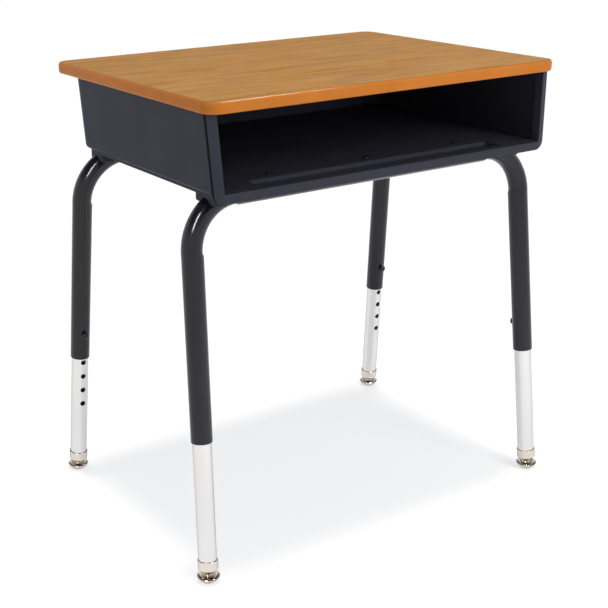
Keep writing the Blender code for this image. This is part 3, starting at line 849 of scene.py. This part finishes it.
@dataclass
class TubeFrame:
    """A leg frame: one tube that rises, bends over and runs across under the box."""

    shop: Workshop
    end: End
    radius: float = 0.0155
    tube_wall: float = 0.0014
    bend_radius: float = 0.073
    squeeze: float = 0.94
    die_mark: float = 0.0035
    upper_length: float = 0.3370
    end_round: float = 0.0008
    end_steps: int = 3
    sides: int = 40
    bend_steps: int = 26

    @property
    def label(self) -> str:
        """The end's name in the frame."""
        return self.end.name.lower()

    def sweep(self, name: str, extra: float = 0.0) -> Workpiece:
        """Draw the tube's skin up the right leg, round the bend and to the middle, then mirror it.

        Args:
            name: The piece's name.
            extra: How much the radius grows.

        Returns:
            The skin, open at its ends.
        """
        axis = LegAxis.read(self.shop, Corner(f"{self.label}_right"))
        run_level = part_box(f"{self.label}_leg_frame")[1].z - self.radius
        knee = axis.foot + axis.up * ((run_level - axis.foot.z) / axis.up.z)
        turn = axis.up.angle(-X_AXIS)
        reach = self.bend_radius * math.tan(turn / 2)
        inward = (-X_AXIS + axis.up * axis.up.x).normalized()
        centre = knee - axis.up * reach + inward * self.bend_radius
        radius = self.radius + extra

        piece = Workpiece(name)
        lower = knee - axis.up * self.upper_length
        piece.circle(radius - self.end_round, self.sides, pointing(lower, axis.up))
        self.widen(piece, lower, axis.up, radius)
        straight = self.upper_length - self.end_round - reach - self.die_mark
        piece.draw(axis.up * straight)
        self.pinch(piece, piece.draw(axis.up * self.die_mark), -inward, self.squeeze)
        piece.turn(centre, axis.up.cross(-X_AXIS).normalized(), turn, self.bend_steps)
        self.pinch(piece, piece.draw(-X_AXIS * self.die_mark), Z_AXIS, 1.0 / self.squeeze)
        piece.draw(-X_AXIS * (knee.x - reach - self.die_mark))
        piece.mirror_x()
        return piece

    def widen(self, piece: Workpiece, lower: Vector, up: Vector, radius: float) -> None:
        """Round the tube's lower edge in short steps.

        Args:
            piece: The tube under way.
            lower: Middle of its lower end.
            up: The way up the leg.
            radius: The tube's full radius.
        """
        before = (radius - self.end_round, 0.0)
        for step in range(1, self.end_steps + 1):
            angle = QUARTER * step / self.end_steps
            size = radius - self.end_round * (1.0 - math.sin(angle))
            height = self.end_round * (1.0 - math.cos(angle))
            verts = piece.draw(up * (height - before[1]))
            centre = Matrix.Translation(-(lower + up * height))
            factor = size / before[0]
            bmesh.ops.scale(piece.bm, vec=(factor, factor, factor), space=centre, verts=verts)
            before = (size, height)

    def pinch(self, piece: Workpiece, verts: Sequence[BMVert], outward: Vector, factor: float) -> None:
        """Narrow the ring across the bend, leaving the outer side where it is.

        Args:
            piece: The tube under way.
            verts: The ring's corners.
            outward: The way from the bend's centre to its outer side.
            factor: How much of the width is left.
        """
        outer = max(vert.co.dot(outward) for vert in verts)
        for vert in verts:
            gap = outer - vert.co.dot(outward)
            bmesh.ops.translate(piece.bm, vec=outward * gap * (1.0 - factor), verts=[vert])

    def build(self) -> None:
        """Make the tube with its wall."""
        piece = self.sweep(f"{self.label}_tube")
        piece.weld()
        piece.thicken(self.tube_wall)
        self.shop.fit(piece.to_object(), Slot.TUBE, "desk", f"{self.label}_leg_frame")


@dataclass
class BookBox:
    """The moulded box: a drafted tub with a flange, a pencil tray, a front rim, skirts and tube pads."""

    shop: Workshop
    frames: Sequence[TubeFrame]
    front_inset: float = 0.0111
    wall: float = 0.0030
    draft: float = 0.0063
    rear_draft: float = 0.0015
    rear_radius: float = 0.0335
    base_round: float = 0.006
    flange_width: float = 0.020
    floor: float = 0.0027
    rim_lean: float = 0.06
    rim_band: float = 0.0131
    rim_flat: float = 0.0020
    rim_setback: float = 0.0044
    rim_plate: float = 0.0019
    rim_corner: float = 0.0150
    rim_round: float = 0.0010
    groove_width: float = 0.0056
    groove_depth: float = 0.0040
    lip_drop: float = 0.0111
    lip_reach: float = 1.2
    tray_half: float = 0.217
    tray_lead: float = 0.0006
    tray_rear_lead: float = 0.0116
    tray_depth: float = 0.0065
    tray_draft: float = 0.0008
    tray_corner: float = 0.009
    tray_cove: float = 0.0055
    tray_edge: float = 0.0006
    skirt_inset: float = 0.0125
    skirt_drop: float = 0.0083
    skirt_rear_inset: float = 0.0289
    pad_inset: float = 0.0185
    pad_thickness: float = 0.020
    pad_drop: float = 0.023
    pad_inner: float = 0.025
    pad_front: float = 0.029
    pad_rear: float = 0.0185
    pad_round: float = 0.0035
    tube_clear: float = 0.0003
    corner_steps: int = 12
    base_steps: int = 5
    cove_steps: int = 6
    rim_steps: int = 4
    pad_steps: int = 3
    edge_steps: int = 2

    def measure(self) -> None:
        """Take the box's main levels and faces from the frame."""
        low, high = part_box("book_box")
        self.half = high.x
        self.top = high.z
        self.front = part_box("edge_band")[0].y + self.front_inset
        self.rear = high.y
        self.under = low.z + self.pad_drop
        self.floor_half = self.half - self.draft
        self.neck = self.rim_setback + self.rim_plate + self.groove_width
        self.wall_front = self.front + self.neck
        self.rim_foot = self.wall_front + self.wall - self.rim_lean * (self.top - self.under - self.floor)

    def fit(self, obj: Object, *nodes: str) -> None:
        """Dress a part of the box and set it on the desk."""
        self.shop.fit(obj, Slot.PLASTIC, "desk", *nodes)

    def run_middle(self, label: str) -> float:
        """Depth at which a tube's run lies, under its middle screw."""
        return sum(corner.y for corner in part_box(f"frame_screw_{label}_middle")) / 2

    def tub(self) -> None:
        """Make the tub: draft, round corners, tray and flange on one skin, then its wall."""
        piece = Workpiece("box_tub")
        bm = piece.bm
        low = Vector((-self.half, self.wall_front, self.under))
        verts = piece.block(low, Vector((self.half, self.rear, self.top)))
        lower = [vert for vert in verts if vert.co.z < self.top - WELD]
        bmesh.ops.scale(bm, vec=(self.floor_half / self.half, 1.0, 1.0), verts=lower)
        behind = [vert for vert in lower if vert.co.y > 0.0]
        bmesh.ops.translate(bm, vec=(0.0, -self.rear_draft, 0.0), verts=behind)
        ahead = [vert for vert in lower if vert.co.y < 0.0]
        bmesh.ops.translate(bm, vec=(0.0, -self.rim_lean * (self.top - self.under), 0.0), verts=ahead)
        bm.normal_update()
        open_sides = [face for face in bm.faces if face.normal.z > FACING or face.normal.y < -FACING]
        bmesh.ops.delete(bm, geom=open_sides, context="FACES")
        corners = [
            edge for edge in bm.edges
            if min(vert.co.y for vert in edge.verts) > 0.0 and rise(edge) > self.wall
        ]
        piece.bevel(corners, self.rear_radius, self.corner_steps)
        base = [edge for edge in level_parts(bm.edges, self.under) if len(edge.link_faces) == 2]
        piece.bevel(base, self.base_round, self.base_steps)
        self.press_tray(piece)
        self.fold_flange(piece)
        piece.weld()
        if max(bm.faces, key=lambda face: face.calc_area()).normal.z > FACING:
            bmesh.ops.reverse_faces(bm, faces=bm.faces)
        piece.thicken(self.wall)
        self.fit(piece.to_object(), "book_box")

    def press_tray(self, piece: Workpiece) -> None:
        """Press the pencil tray down out of the floor.

        Args:
            piece: The tub under way.
        """
        bm = piece.bm
        front = self.rim_foot - self.tray_lead - self.wall
        rear = self.run_middle("front") - self.tray_rear_lead
        cuts = (
            (X_AXIS * -self.tray_half, X_AXIS),
            (X_AXIS * self.tray_half, X_AXIS),
            (Y_AXIS * front, Y_AXIS),
            (Y_AXIS * rear, Y_AXIS),
        )
        for point, normal in cuts:
            faces = level_parts(bm.faces, self.under)
            edges = list(dict.fromkeys(edge for face in faces for edge in face.edges))
            geom = faces + edges + piece.verts_of(edges)
            bmesh.ops.bisect_plane(bm, geom=geom, plane_co=point, plane_no=normal)
        middle = Vector((0.0, (front + rear) / 2, self.under))
        tray = min(bm.faces, key=lambda face: (face.calc_center_median() - middle).length)
        bmesh.ops.recalc_face_normals(bm, faces=bm.faces)
        depth = math.copysign(self.tray_depth, -tray.normal.z)
        bmesh.ops.inset_region(
            bm, faces=[tray], thickness=self.tray_draft, depth=depth, use_even_offset=True
        )
        sunk = tray.calc_center_median().z
        slopes = [
            edge for edge in bm.edges
            if abs(rise(edge) - self.tray_depth) < WELD and lowest(edge) < sunk + WELD
        ]
        piece.bevel(slopes, self.tray_corner, self.base_steps)
        inside = level_parts(bm.edges, sunk)
        upper = [
            edge for edge in level_parts(bm.edges, self.under)
            if any(lowest(face) < self.under - WELD for face in edge.link_faces)
        ]
        piece.bevel(upper, self.tray_edge, self.edge_steps)
        piece.bevel(inside, self.tray_cove, self.cove_steps)

    def fold_flange(self, piece: Workpiece) -> None:
        """Fold the upper edge of the walls inwards into the screw flange.

        Args:
            piece: The tub under way.
        """
        piece.ring = [edge for edge in level_parts(piece.bm.edges, self.top) if edge.is_boundary]
        verts = piece.draw(ORIGIN)
        width = self.flange_width + self.wall
        depth = self.rear - self.wall_front
        space = Matrix.Translation((0.0, -self.wall_front, 0.0))
        factors = (1.0 - width / self.half, 1.0 - width / depth, 1.0)
        bmesh.ops.scale(piece.bm, vec=factors, space=space, verts=verts)

    def rim(self) -> None:
        """Make the front rim: its section goes along the lip, round a corner and up a side."""
        piece = Workpiece("box_rim")
        base = self.under - self.lip_drop
        lean = math.atan2(self.draft, self.top - self.under)
        radius = self.rim_corner
        corner_z = base + radius
        side_x = self.floor_half + (corner_z - self.under) * math.tan(lean)
        corner = Vector((side_x - radius / math.cos(lean), 0.0, corner_z))
        plate_back = self.rim_setback + self.rim_plate
        ease = self.rim_round / 2
        corners = [
            (0.0, self.rim_band - self.rim_flat, self.rim_round),
            (self.rim_setback, 0.0, ease),
            (plate_back, 0.0, ease),
            (plate_back, self.groove_depth, ease),
            (self.neck, self.groove_depth, ease),
            (self.neck, 0.0, ease),
            (self.neck + self.wall, 0.0, 0.0),
            (self.neck + self.wall, self.rim_band, ease),
            (0.0, self.rim_band, self.rim_round),
        ]
        across = Matrix.Translation((0.0, self.front, base)) @ Matrix.Rotation(QUARTER, 4, "Z")
        piece.section(corners, across, self.rim_steps)
        piece.draw(X_AXIS * corner.x)
        piece.turn(corner, -Y_AXIS, QUARTER - lean, self.corner_steps)
        height = self.top - corner.z - radius * math.sin(lean)
        upper = piece.draw(Vector((math.sin(lean), 0.0, math.cos(lean))) * height)
        for vert in upper:
            vert.co.z = self.top
        self.raise_lip(piece, corner, radius)
        piece.mirror_x()
        shear = Matrix.Identity(4)
        shear[1][2] = self.rim_lean
        shear[1][3] = -self.rim_lean * self.top
        piece.move(shear)
        self.fit(piece.to_object())

    def raise_lip(self, piece: Workpiece, corner: Vector, radius: float) -> None:
        """Raise the lip's inner edge to the floor, easing off round the corner.

        Args:
            piece: The rim under way.
            corner: Centre of the rim's corner.
            radius: Radius of the corner on the wall's line.
        """
        lift = self.under + self.floor - (corner.z - radius + self.rim_band)
        near = radius - self.rim_band + self.rim_flat * self.lip_reach
        for vert in piece.bm.verts:
            drop = corner.z - vert.co.z
            spread = max(vert.co.x - corner.x, 0.0)
            distance = math.hypot(spread, drop)
            if 0.0 < distance < near:
                vert.co.z += lift * max(drop, 0.0) / distance

    def hung(self, name: str, low: Vector, high: Vector, ease: float, steps: int) -> Object:
        """Make a pair of blocks that hang under the floor, one at each side.

        Args:
            name: The piece's name.
            low: Lowest corner of the right block.
            high: Its highest corner.
            ease: Rounding of its edges.
            steps: Steps in the rounding.

        Returns:
            The pair.
        """
        piece = Workpiece(name)
        piece.block(low, high)
        piece.bevel(piece.bm.edges[:], ease, steps)
        piece.mirror_x()
        return piece.to_object()

    def skirts(self) -> None:
        """Make the strips that hang under the floor at both sides."""
        outer = self.floor_half - self.skirt_inset
        low = Vector((outer - self.wall, self.rim_foot - self.wall, self.under - self.skirt_drop))
        high = Vector((outer, self.rear - self.skirt_rear_inset, self.under + self.wall / 2))
        self.fit(self.hung("box_skirts", low, high, self.rim_round / 2, self.edge_steps))

    def pads(self) -> None:
        """Make the blocks that sit on the tubes, each hollowed to its tube."""
        outer = self.floor_half - self.pad_inset
        for frame in self.frames:
            run_y = self.run_middle(frame.label)
            near = run_y - frame.end.value * self.pad_inner
            past = self.pad_front if frame.end is End.FRONT else self.pad_rear
            far = run_y + frame.end.value * past
            low = Vector((outer - self.pad_thickness, min(near, far), self.under - self.pad_drop))
            high = Vector((outer, max(near, far), self.under + self.wall / 2))
            obj = self.hung(f"box_pads_{frame.label}", low, high, self.pad_round, self.pad_steps)
            cutter = frame.sweep("tube_shape", self.tube_clear)
            bmesh.ops.holes_fill(cutter.bm, edges=cutter.bm.edges[:])
            cut_away(obj, cutter)
            self.fit(obj)

    def build(self) -> None:
        """Make the whole box."""
        self.measure()
        self.tub()
        self.rim()
        self.skirts()
        self.pads()


@dataclass
class TelescopicLeg:
    """The lower leg: a plated tube with a row of holes, a ferrule, a swivel glide and a height screw."""

    shop: Workshop
    corner: Corner
    insert_radius: float = 0.0136
    insert_wall: float = 0.0016
    insert_low: float = 0.0129
    hole_margin: float = 0.0110
    hole_radius: float = 0.0044
    hole_pitch: float = 0.0254
    hole_sides: int = 24
    holes_below: int = 5
    holes_above: int = 3
    seat_gap: float = 0.0003
    ferrule_rise: float = 0.0108
    ferrule_top: float = 0.0268
    ferrule_wall: float = 0.0010
    ferrule_base: float = 0.0018
    ferrule_round: float = 0.0030
    ferrule_ease: float = 0.0003
    stem_radius: float = 0.0032
    stem_head: float = 0.0055
    stem_head_height: float = 0.0015
    ball_radius: float = 0.0052
    ball_steps: int = 14
    socket_radius: float = 0.0057
    socket_steps: int = 12
    swivel_height: float = 0.0078
    dish_radius: float = 0.01725
    dish_base: float = 0.0085
    dish_height: float = 0.0106
    dish_wall: float = 0.0014
    flare_start: float = 24.0
    flare_end: float = 52.0
    hub_wall: float = 0.0018
    hub_angle: float = 30.0
    screw_shank: float = 0.0039
    screw_head: float = 0.0058
    screw_head_height: float = 0.0046
    screw_edge: float = 0.3
    tube_radius: float = 0.0155
    back_off: float = 0.0030
    thread_pitch: float = 0.0011
    thread_depth: float = 0.0004
    curve_steps: int = 10
    sides: int = 48

    def read(self) -> None:
        """Take the leg's line and its screw's height from the frame."""
        self.axis = LegAxis.read(self.shop, self.corner)
        self.place = pointing(self.axis.foot, self.axis.up)
        low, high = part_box(f"height_screw_{self.corner.value}")
        self.screw_at = ((low + high) / 2 - self.axis.foot).dot(self.axis.up)
        self.insert_high = self.screw_at + self.holes_above * self.hole_pitch + self.hole_margin

    def turned(self, name: str, corners: Sequence[Triple], place: Matrix, steps: int = 3) -> Object:
        """Turn one of the leg's pieces.

        Args:
            name: The piece's name without the corner's.
            corners: Radius, height and rounding of each corner of its outline.
            place: Where the piece goes.
            steps: Steps in each rounding.

        Returns:
            The piece.
        """
        piece = Workpiece(f"{name}_{self.corner.value}")
        piece.lathe(corners, place, self.sides, steps)
        return piece.to_object()

    def fit(self, obj: Object, slot: Slot, body: str, node: str) -> None:
        """Dress a piece and set it on this leg's own body, in place of this leg's own node."""
        self.shop.fit(obj, slot, f"{body}_{self.corner.value}", f"{node}_{self.corner.value}")

    def insert(self) -> None:
        """Make the plated tube and cut its row of holes."""
        inner = self.insert_radius - self.insert_wall
        ease = self.insert_wall / 5
        corners = [
            (inner, self.insert_low, ease),
            (self.insert_radius, self.insert_low, ease),
            (self.insert_radius, self.insert_high, ease),
            (inner, self.insert_high, ease),
        ]
        obj = self.turned("plated_tube", corners, self.place, steps=2)
        cutter = Workpiece("hole_row")
        for step in range(-self.holes_below, self.holes_above + 1):
            centre = self.axis.foot + self.axis.up * (self.screw_at + step * self.hole_pitch)
            past = centre + self.axis.facing * self.insert_radius * 2
            cutter.rod(centre, past, self.hole_radius, self.hole_sides)
        cut_away(obj, cutter)
        self.fit(obj, Slot.CHROME, "leg", "leg_insert")

    def ferrule(self) -> None:
        """Make the cup on the tube's lower end."""
        inner = self.insert_radius + self.seat_gap
        outer = inner + self.ferrule_wall
        hole = self.stem_radius + self.seat_gap * 2
        seat = self.ferrule_rise + self.ferrule_base
        corners = [
            (hole, seat, 0.0),
            (inner, seat, 0.0),
            (inner, self.ferrule_top, self.ferrule_wall / 4),
            (outer, self.ferrule_top, self.ferrule_wall / 3),
            (outer, self.ferrule_rise, self.ferrule_round),
            (hole, self.ferrule_rise, self.ferrule_ease),
        ]
        cup = self.turned("foot_cup", corners, self.place, steps=5)
        self.fit(cup, Slot.NICKEL, "leg", "ferrule")

    def arc(self, radius: float, start: float, end: float, steps: int) -> list[Triple]:
        """Outline corners on an arc about the swivel centre, by angles above the horizontal in degrees."""
        angles = [math.radians(start + (end - start) * step / steps) for step in range(steps + 1)]
        return [(radius * math.cos(angle), radius * math.sin(angle), 0.0) for angle in angles]

    def stem(self) -> None:
        """Make the glide's stem with its ball and riveted head."""
        neck = math.degrees(math.acos(self.stem_radius / self.ball_radius))
        top = self.insert_low + self.stem_head_height
        corners = self.arc(self.ball_radius, -90.0, neck, self.ball_steps) + [
            (self.stem_radius, self.insert_low, 0.0),
            (self.stem_head, self.insert_low, self.seat_gap),
            (self.stem_head, top, self.stem_head_height / 3),
            (0.0, top, 0.0),
        ]
        self.fit(self.turned("swivel_stem", corners, self.place), Slot.NICKEL, "stem", "glide_stem")

    def flare(self) -> list[Pair]:
        """Shares of the saucer's width and height along its flare.

        Returns:
            Share of the width and of the height at each step, from the base to the rim.
        """
        arc = self.arc(1.0, self.flare_start, self.flare_end, self.curve_steps)
        (first, low, _), (last, high, _) = arc[0], arc[-1]
        return [((up - low) / (high - low), (first - across) / (first - last)) for across, up, _ in arc]

    def dish(self) -> None:
        """Make the pressed saucer with the hub that is closed over the ball."""
        low = -self.swivel_height
        hub = self.socket_radius + self.hub_wall
        lip = self.socket_radius * math.sin(math.radians(self.hub_angle))
        bowl = self.dish_radius - self.dish_base
        height = self.dish_height - self.dish_wall
        under = [(self.dish_base + bowl * out, low + height * up, 0.0) for out, up in self.flare()]
        inside = [(across - self.dish_wall, up + self.dish_wall, 0.0) for across, up, _ in under[1:-1]]
        edge = self.dish_wall / 3
        corners = [
            (0.0, low, 0.0),
            *under[:-1],
            (self.dish_radius, low + height, edge),
            (self.dish_radius - self.dish_wall, low + self.dish_height, edge),
            *inside[::-1],
            (hub, low + 2 * self.dish_wall, 0.0),
            (hub, lip, self.hub_wall / 3),
            *self.arc(self.socket_radius, self.hub_angle, -90.0, self.socket_steps),
        ]
        saucer = self.turned("floor_saucer", corners, Matrix.Translation(self.axis.foot))
        self.fit(saucer, Slot.NICKEL, "dish", "glide_dish")

    def screw(self) -> None:
        """Make the domed height screw with its threaded shank."""
        seat = self.tube_radius + self.back_off
        length = seat - self.insert_radius - self.seat_gap
        edge = self.screw_head_height * self.screw_edge
        dome = self.screw_head_height - edge
        angles = [QUARTER * step / self.curve_steps for step in range(1, self.curve_steps + 1)]
        root = self.screw_shank - self.thread_depth
        thread = []
        for turn in range(int(length / self.thread_pitch)):
            height = -turn * self.thread_pitch
            thread.append((root, height, 0.0))
            thread.append((self.screw_shank, height - self.thread_pitch / 2, 0.0))
        corners = [
            (0.0, self.screw_head_height, 0.0),
            *((self.screw_head * math.sin(a), edge + dome * math.cos(a), 0.0) for a in angles),
            (self.screw_head, 0.0, edge / 4),
            *thread,
            (root, -length, 0.0),
            (0.0, -length, 0.0),
        ]
        origin = self.axis.foot + self.axis.up * self.screw_at + self.axis.facing * seat
        screw = self.turned("domed_screw", corners, pointing(origin, self.axis.facing))
        self.fit(screw, Slot.BLACK_SCREW, "screw", "height_screw")

    def build(self) -> None:
        """Make the whole lower leg."""
        self.read()
        self.insert()
        self.ferrule()
        self.stem()
        self.dish()
        self.screw()


@dataclass
class SmallScrew:
    """A pan-head screw with a cross recess, in the place of one of the frame's screws."""

    shop: Workshop
    node: str
    slot: Slot
    shank: float = 0.0024
    head: float = 0.0052
    head_height: float = 0.0030
    head_round: float = 0.55
    head_ease: float = 0.1
    recess_width: float = 0.0011
    recess_depth: float = 0.0016
    recess_reach: float = 0.55
    recess_top: float = 1.5
    round_steps: int = 5
    sides: int = 32

    def build(self) -> None:
        """Make the screw head up or head down, as its node lies."""
        low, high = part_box(self.node)
        middle = (low + high) / 2
        upright = self.slot is Slot.BLACK_SCREW
        seat = high.z - self.head_height if upright else low.z + self.head_height
        length = high.z - low.z - self.head_height
        corners = [
            (0.0, self.head_height, 0.0),
            (self.head, self.head_height, self.head_height * self.head_round),
            (self.head, 0.0, self.head_height * self.head_ease),
            (self.shank, 0.0, 0.0),
            (self.shank, -length, self.shank / 2),
            (0.0, -length, 0.0),
        ]
        place = pointing(Vector((middle.x, middle.y, seat)), Z_AXIS if upright else -Z_AXIS)
        piece = Workpiece(f"pan_{self.node}")
        piece.lathe(corners, place, self.sides, self.round_steps)
        obj = piece.to_object()
        reach = self.head * self.recess_reach
        narrow = self.recess_width / 2
        for half_x, half_y in ((reach, narrow), (narrow, reach)):
            cutter = Workpiece("recess")
            bottom = Vector((-half_x, -half_y, self.head_height - self.recess_depth))
            cutter.block(bottom, Vector((half_x, half_y, self.head_height * self.recess_top)))
            cutter.move(place)
            cut_away(obj, cutter)
        self.shop.fit(obj, self.slot, "desk", self.node)


@dataclass(frozen=True)
class Lamp:
    """A soft lamp that no reflection shows, or a bright card that only reflections show."""

    name: str
    spot: Triple
    width: float
    height: float
    power: float
    card: bool = False
    aim: Triple = (0.0, 0.0, 0.5)

    def hang(self) -> None:
        """Hang it so that it faces the desk."""
        light = bpy.data.lights.new(self.name, "AREA")
        light.shape = "RECTANGLE"
        light.size = self.width
        light.size_y = self.height
        light.energy = self.power
        lamp = put(self.name, light)
        lamp.matrix_world = pointing(Vector(self.spot), Vector(self.spot) - Vector(self.aim))
        lamp.visible_diffuse = not self.card
        lamp.visible_glossy = self.card


@dataclass
class Studio:
    """The stage: a pale floor, a bright surround, soft lamps and the photograph's camera."""

    floor_size: float = 24.0
    floor_level: float = -0.0003
    floor_plain: Colour = (0.8, 0.8, 0.8, 1.0)
    floor_glow: Colour = (0.55, 0.575, 0.62, 1.0)
    floor_shade: Colour = (0.51, 0.48, 0.43, 1.0)
    surround: float = 0.50
    daylight_power: float = 1.25
    daylight_spread: float = 7.0
    lamps: tuple[Lamp, ...] = (
        Lamp("fill", (0.65, -2.15, 1.7), 1.2, 1.2, 17.0),
        Lamp("near", (0.5, -1.9, 0.95), 0.6, 0.6, 8.0),
        Lamp("side", (-2.1, 0.5, 1.1), 0.8, 0.8, 3.5),
        Lamp("strip", (-1.62, -0.97, 1.8), 0.3, 0.9, 34.0, True),
        Lamp("edge card", (0.82, -0.3, 2.5), 1.4, 0.4, 130.0, True),
    )
    ceiling: float = 0.15
    ceiling_range: Pair = (0.25, 0.60)
    image: float = 608.0
    azimuth: float = -32.7647
    elevation: float = 21.4887
    roll: float = -0.7928
    focal: float = 1197.585
    distance: float = 1.9167
    aim: Triple = (-0.1027, 0.0, 0.2450)
    shift: Pair = (0.09, 0.07)
    sensor: float = 36.0
    clip: Pair = (0.05, 60.0)

    def floor_material(self) -> Material:
        """Make the floor's material: it keeps the desk's shadow, is white elsewhere and is clear from below.

        Returns:
            The material.
        """
        material = bpy.data.materials.new("pale_floor")
        material.use_nodes = True
        nodes = material.node_tree.nodes
        nodes.remove(nodes["Principled BSDF"])
        graph = Graph(material.node_tree)
        path = graph.add("ShaderNodeLightPath").outputs
        seen = graph.combined(path["Is Camera Ray"], path["Is Glossy Ray"], "MAXIMUM")
        seen = graph.combined(seen, path["Is Transmission Ray"], "MAXIMUM")
        plain = graph.add("ShaderNodeBsdfDiffuse", {"Color": self.floor_plain}).outputs[0]
        shade = graph.add("ShaderNodeBsdfDiffuse", {"Color": self.floor_shade}).outputs[0]
        glow = graph.add("ShaderNodeEmission", {"Color": self.floor_glow}).outputs[0]
        both = graph.add("ShaderNodeAddShader", {0: shade, 1: glow}).outputs[0]
        mixed = graph.add("ShaderNodeMixShader", {0: seen, 1: plain, 2: both}).outputs[0]
        below = graph.add("ShaderNodeNewGeometry").outputs["Backfacing"]
        clear = graph.add("ShaderNodeBsdfTransparent").outputs[0]
        sided = graph.add("ShaderNodeMixShader", {0: below, 1: mixed, 2: clear}).outputs[0]
        graph.feed(nodes["Material Output"], {"Surface": sided})
        return material

    def floor(self) -> None:
        """Lay the floor."""
        piece = Workpiece("floor")
        level = Matrix.Translation((0.0, 0.0, self.floor_level))
        bmesh.ops.create_grid(piece.bm, x_segments=1, y_segments=1, size=self.floor_size / 2, matrix=level)
        obj = piece.to_object()
        obj.data.materials.append(self.floor_material())

    def world(self) -> None:
        """Set the even surround: white to the camera and in level reflections, dim overhead in them."""
        world = bpy.data.worlds.new("surround")
        world.use_nodes = True
        graph = Graph(world.node_tree)
        path = graph.add("ShaderNodeLightPath").outputs
        way = graph.add("ShaderNodeTexCoord").outputs["Generated"]
        height = graph.add("ShaderNodeSeparateXYZ", {"Vector": way}).outputs["Z"]
        mirrored = graph.ranged(height, self.ceiling_range, (1.0, self.ceiling))
        shining = graph.combined(path["Is Glossy Ray"], path["Is Transmission Ray"], "MAXIMUM")
        around = graph.ranged(shining, WHOLE, (self.surround, mirrored))
        strength = graph.ranged(path["Is Camera Ray"], WHOLE, (around, 1.0))
        graph.feed(world.node_tree.nodes["Background"], {"Color": WHITE, "Strength": strength})
        bpy.context.scene.world = world

    def daylight(self) -> None:
        """Let even light fall straight down, so that the desk's shadow lies under it."""
        light = bpy.data.lights.new("daylight", "SUN")
        light.energy = self.daylight_power
        light.angle = math.radians(self.daylight_spread)
        put("daylight", light).visible_glossy = False

    def camera(self) -> None:
        """Set the camera where the photograph was taken."""
        azimuth, elevation, roll = (math.radians(a) for a in (self.azimuth, self.elevation, self.roll))
        out = math.cos(elevation)
        back = Vector((math.sin(azimuth) * out, -math.cos(azimuth) * out, math.sin(elevation)))
        level = Z_AXIS.cross(back).normalized()
        upright = back.cross(level)
        right = level * math.cos(roll) + upright * math.sin(roll)
        up = upright * math.cos(roll) - level * math.sin(roll)
        lens = bpy.data.cameras.new("photograph")
        lens.sensor_width = self.sensor
        lens.lens = self.focal / self.image * self.sensor
        lens.shift_x, lens.shift_y = self.shift
        lens.clip_start, lens.clip_end = self.clip
        camera = put("photograph", lens)
        turned = Matrix((right, up, back)).transposed().to_4x4()
        camera.matrix_world = Matrix.Translation(Vector(self.aim) + back * self.distance) @ turned
        bpy.context.scene.camera = camera

    def build(self) -> None:
        """Set the whole stage."""
        self.floor()
        self.world()
        self.daylight()
        for lamp in self.lamps:
            lamp.hang()
        self.camera()
        bpy.context.scene.view_settings.view_transform = "Standard"
        LOG.info("stage set")


def main() -> None:
    """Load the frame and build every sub-assembly on it."""
    logging.basicConfig(level=logging.INFO, format="%(name)s %(message)s")
    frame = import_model()
    effects = Effects.build()
    finishes = {slot: finish.build(effects) for slot, finish in desk_finishes().items()}
    shop = Workshop(frame, finishes)
    DeskTop(shop).build()
    frames = [TubeFrame(shop, end) for end in End]
    for tube_frame in frames:
        tube_frame.build()
    BookBox(shop, frames).build()
    for corner in Corner:
        TelescopicLeg(shop, corner).build()
    for name in sorted(frame["nodes"]):
        if name.startswith("frame_screw"):
            SmallScrew(shop, name, Slot.BLACK_SCREW).build()
        elif name.startswith("top_screw"):
            SmallScrew(shop, name, Slot.ZINC_SCREW).build()
    Studio().build()
    LOG.info("%d new pieces", shop.count)


if __name__ == "__main__":
    main()
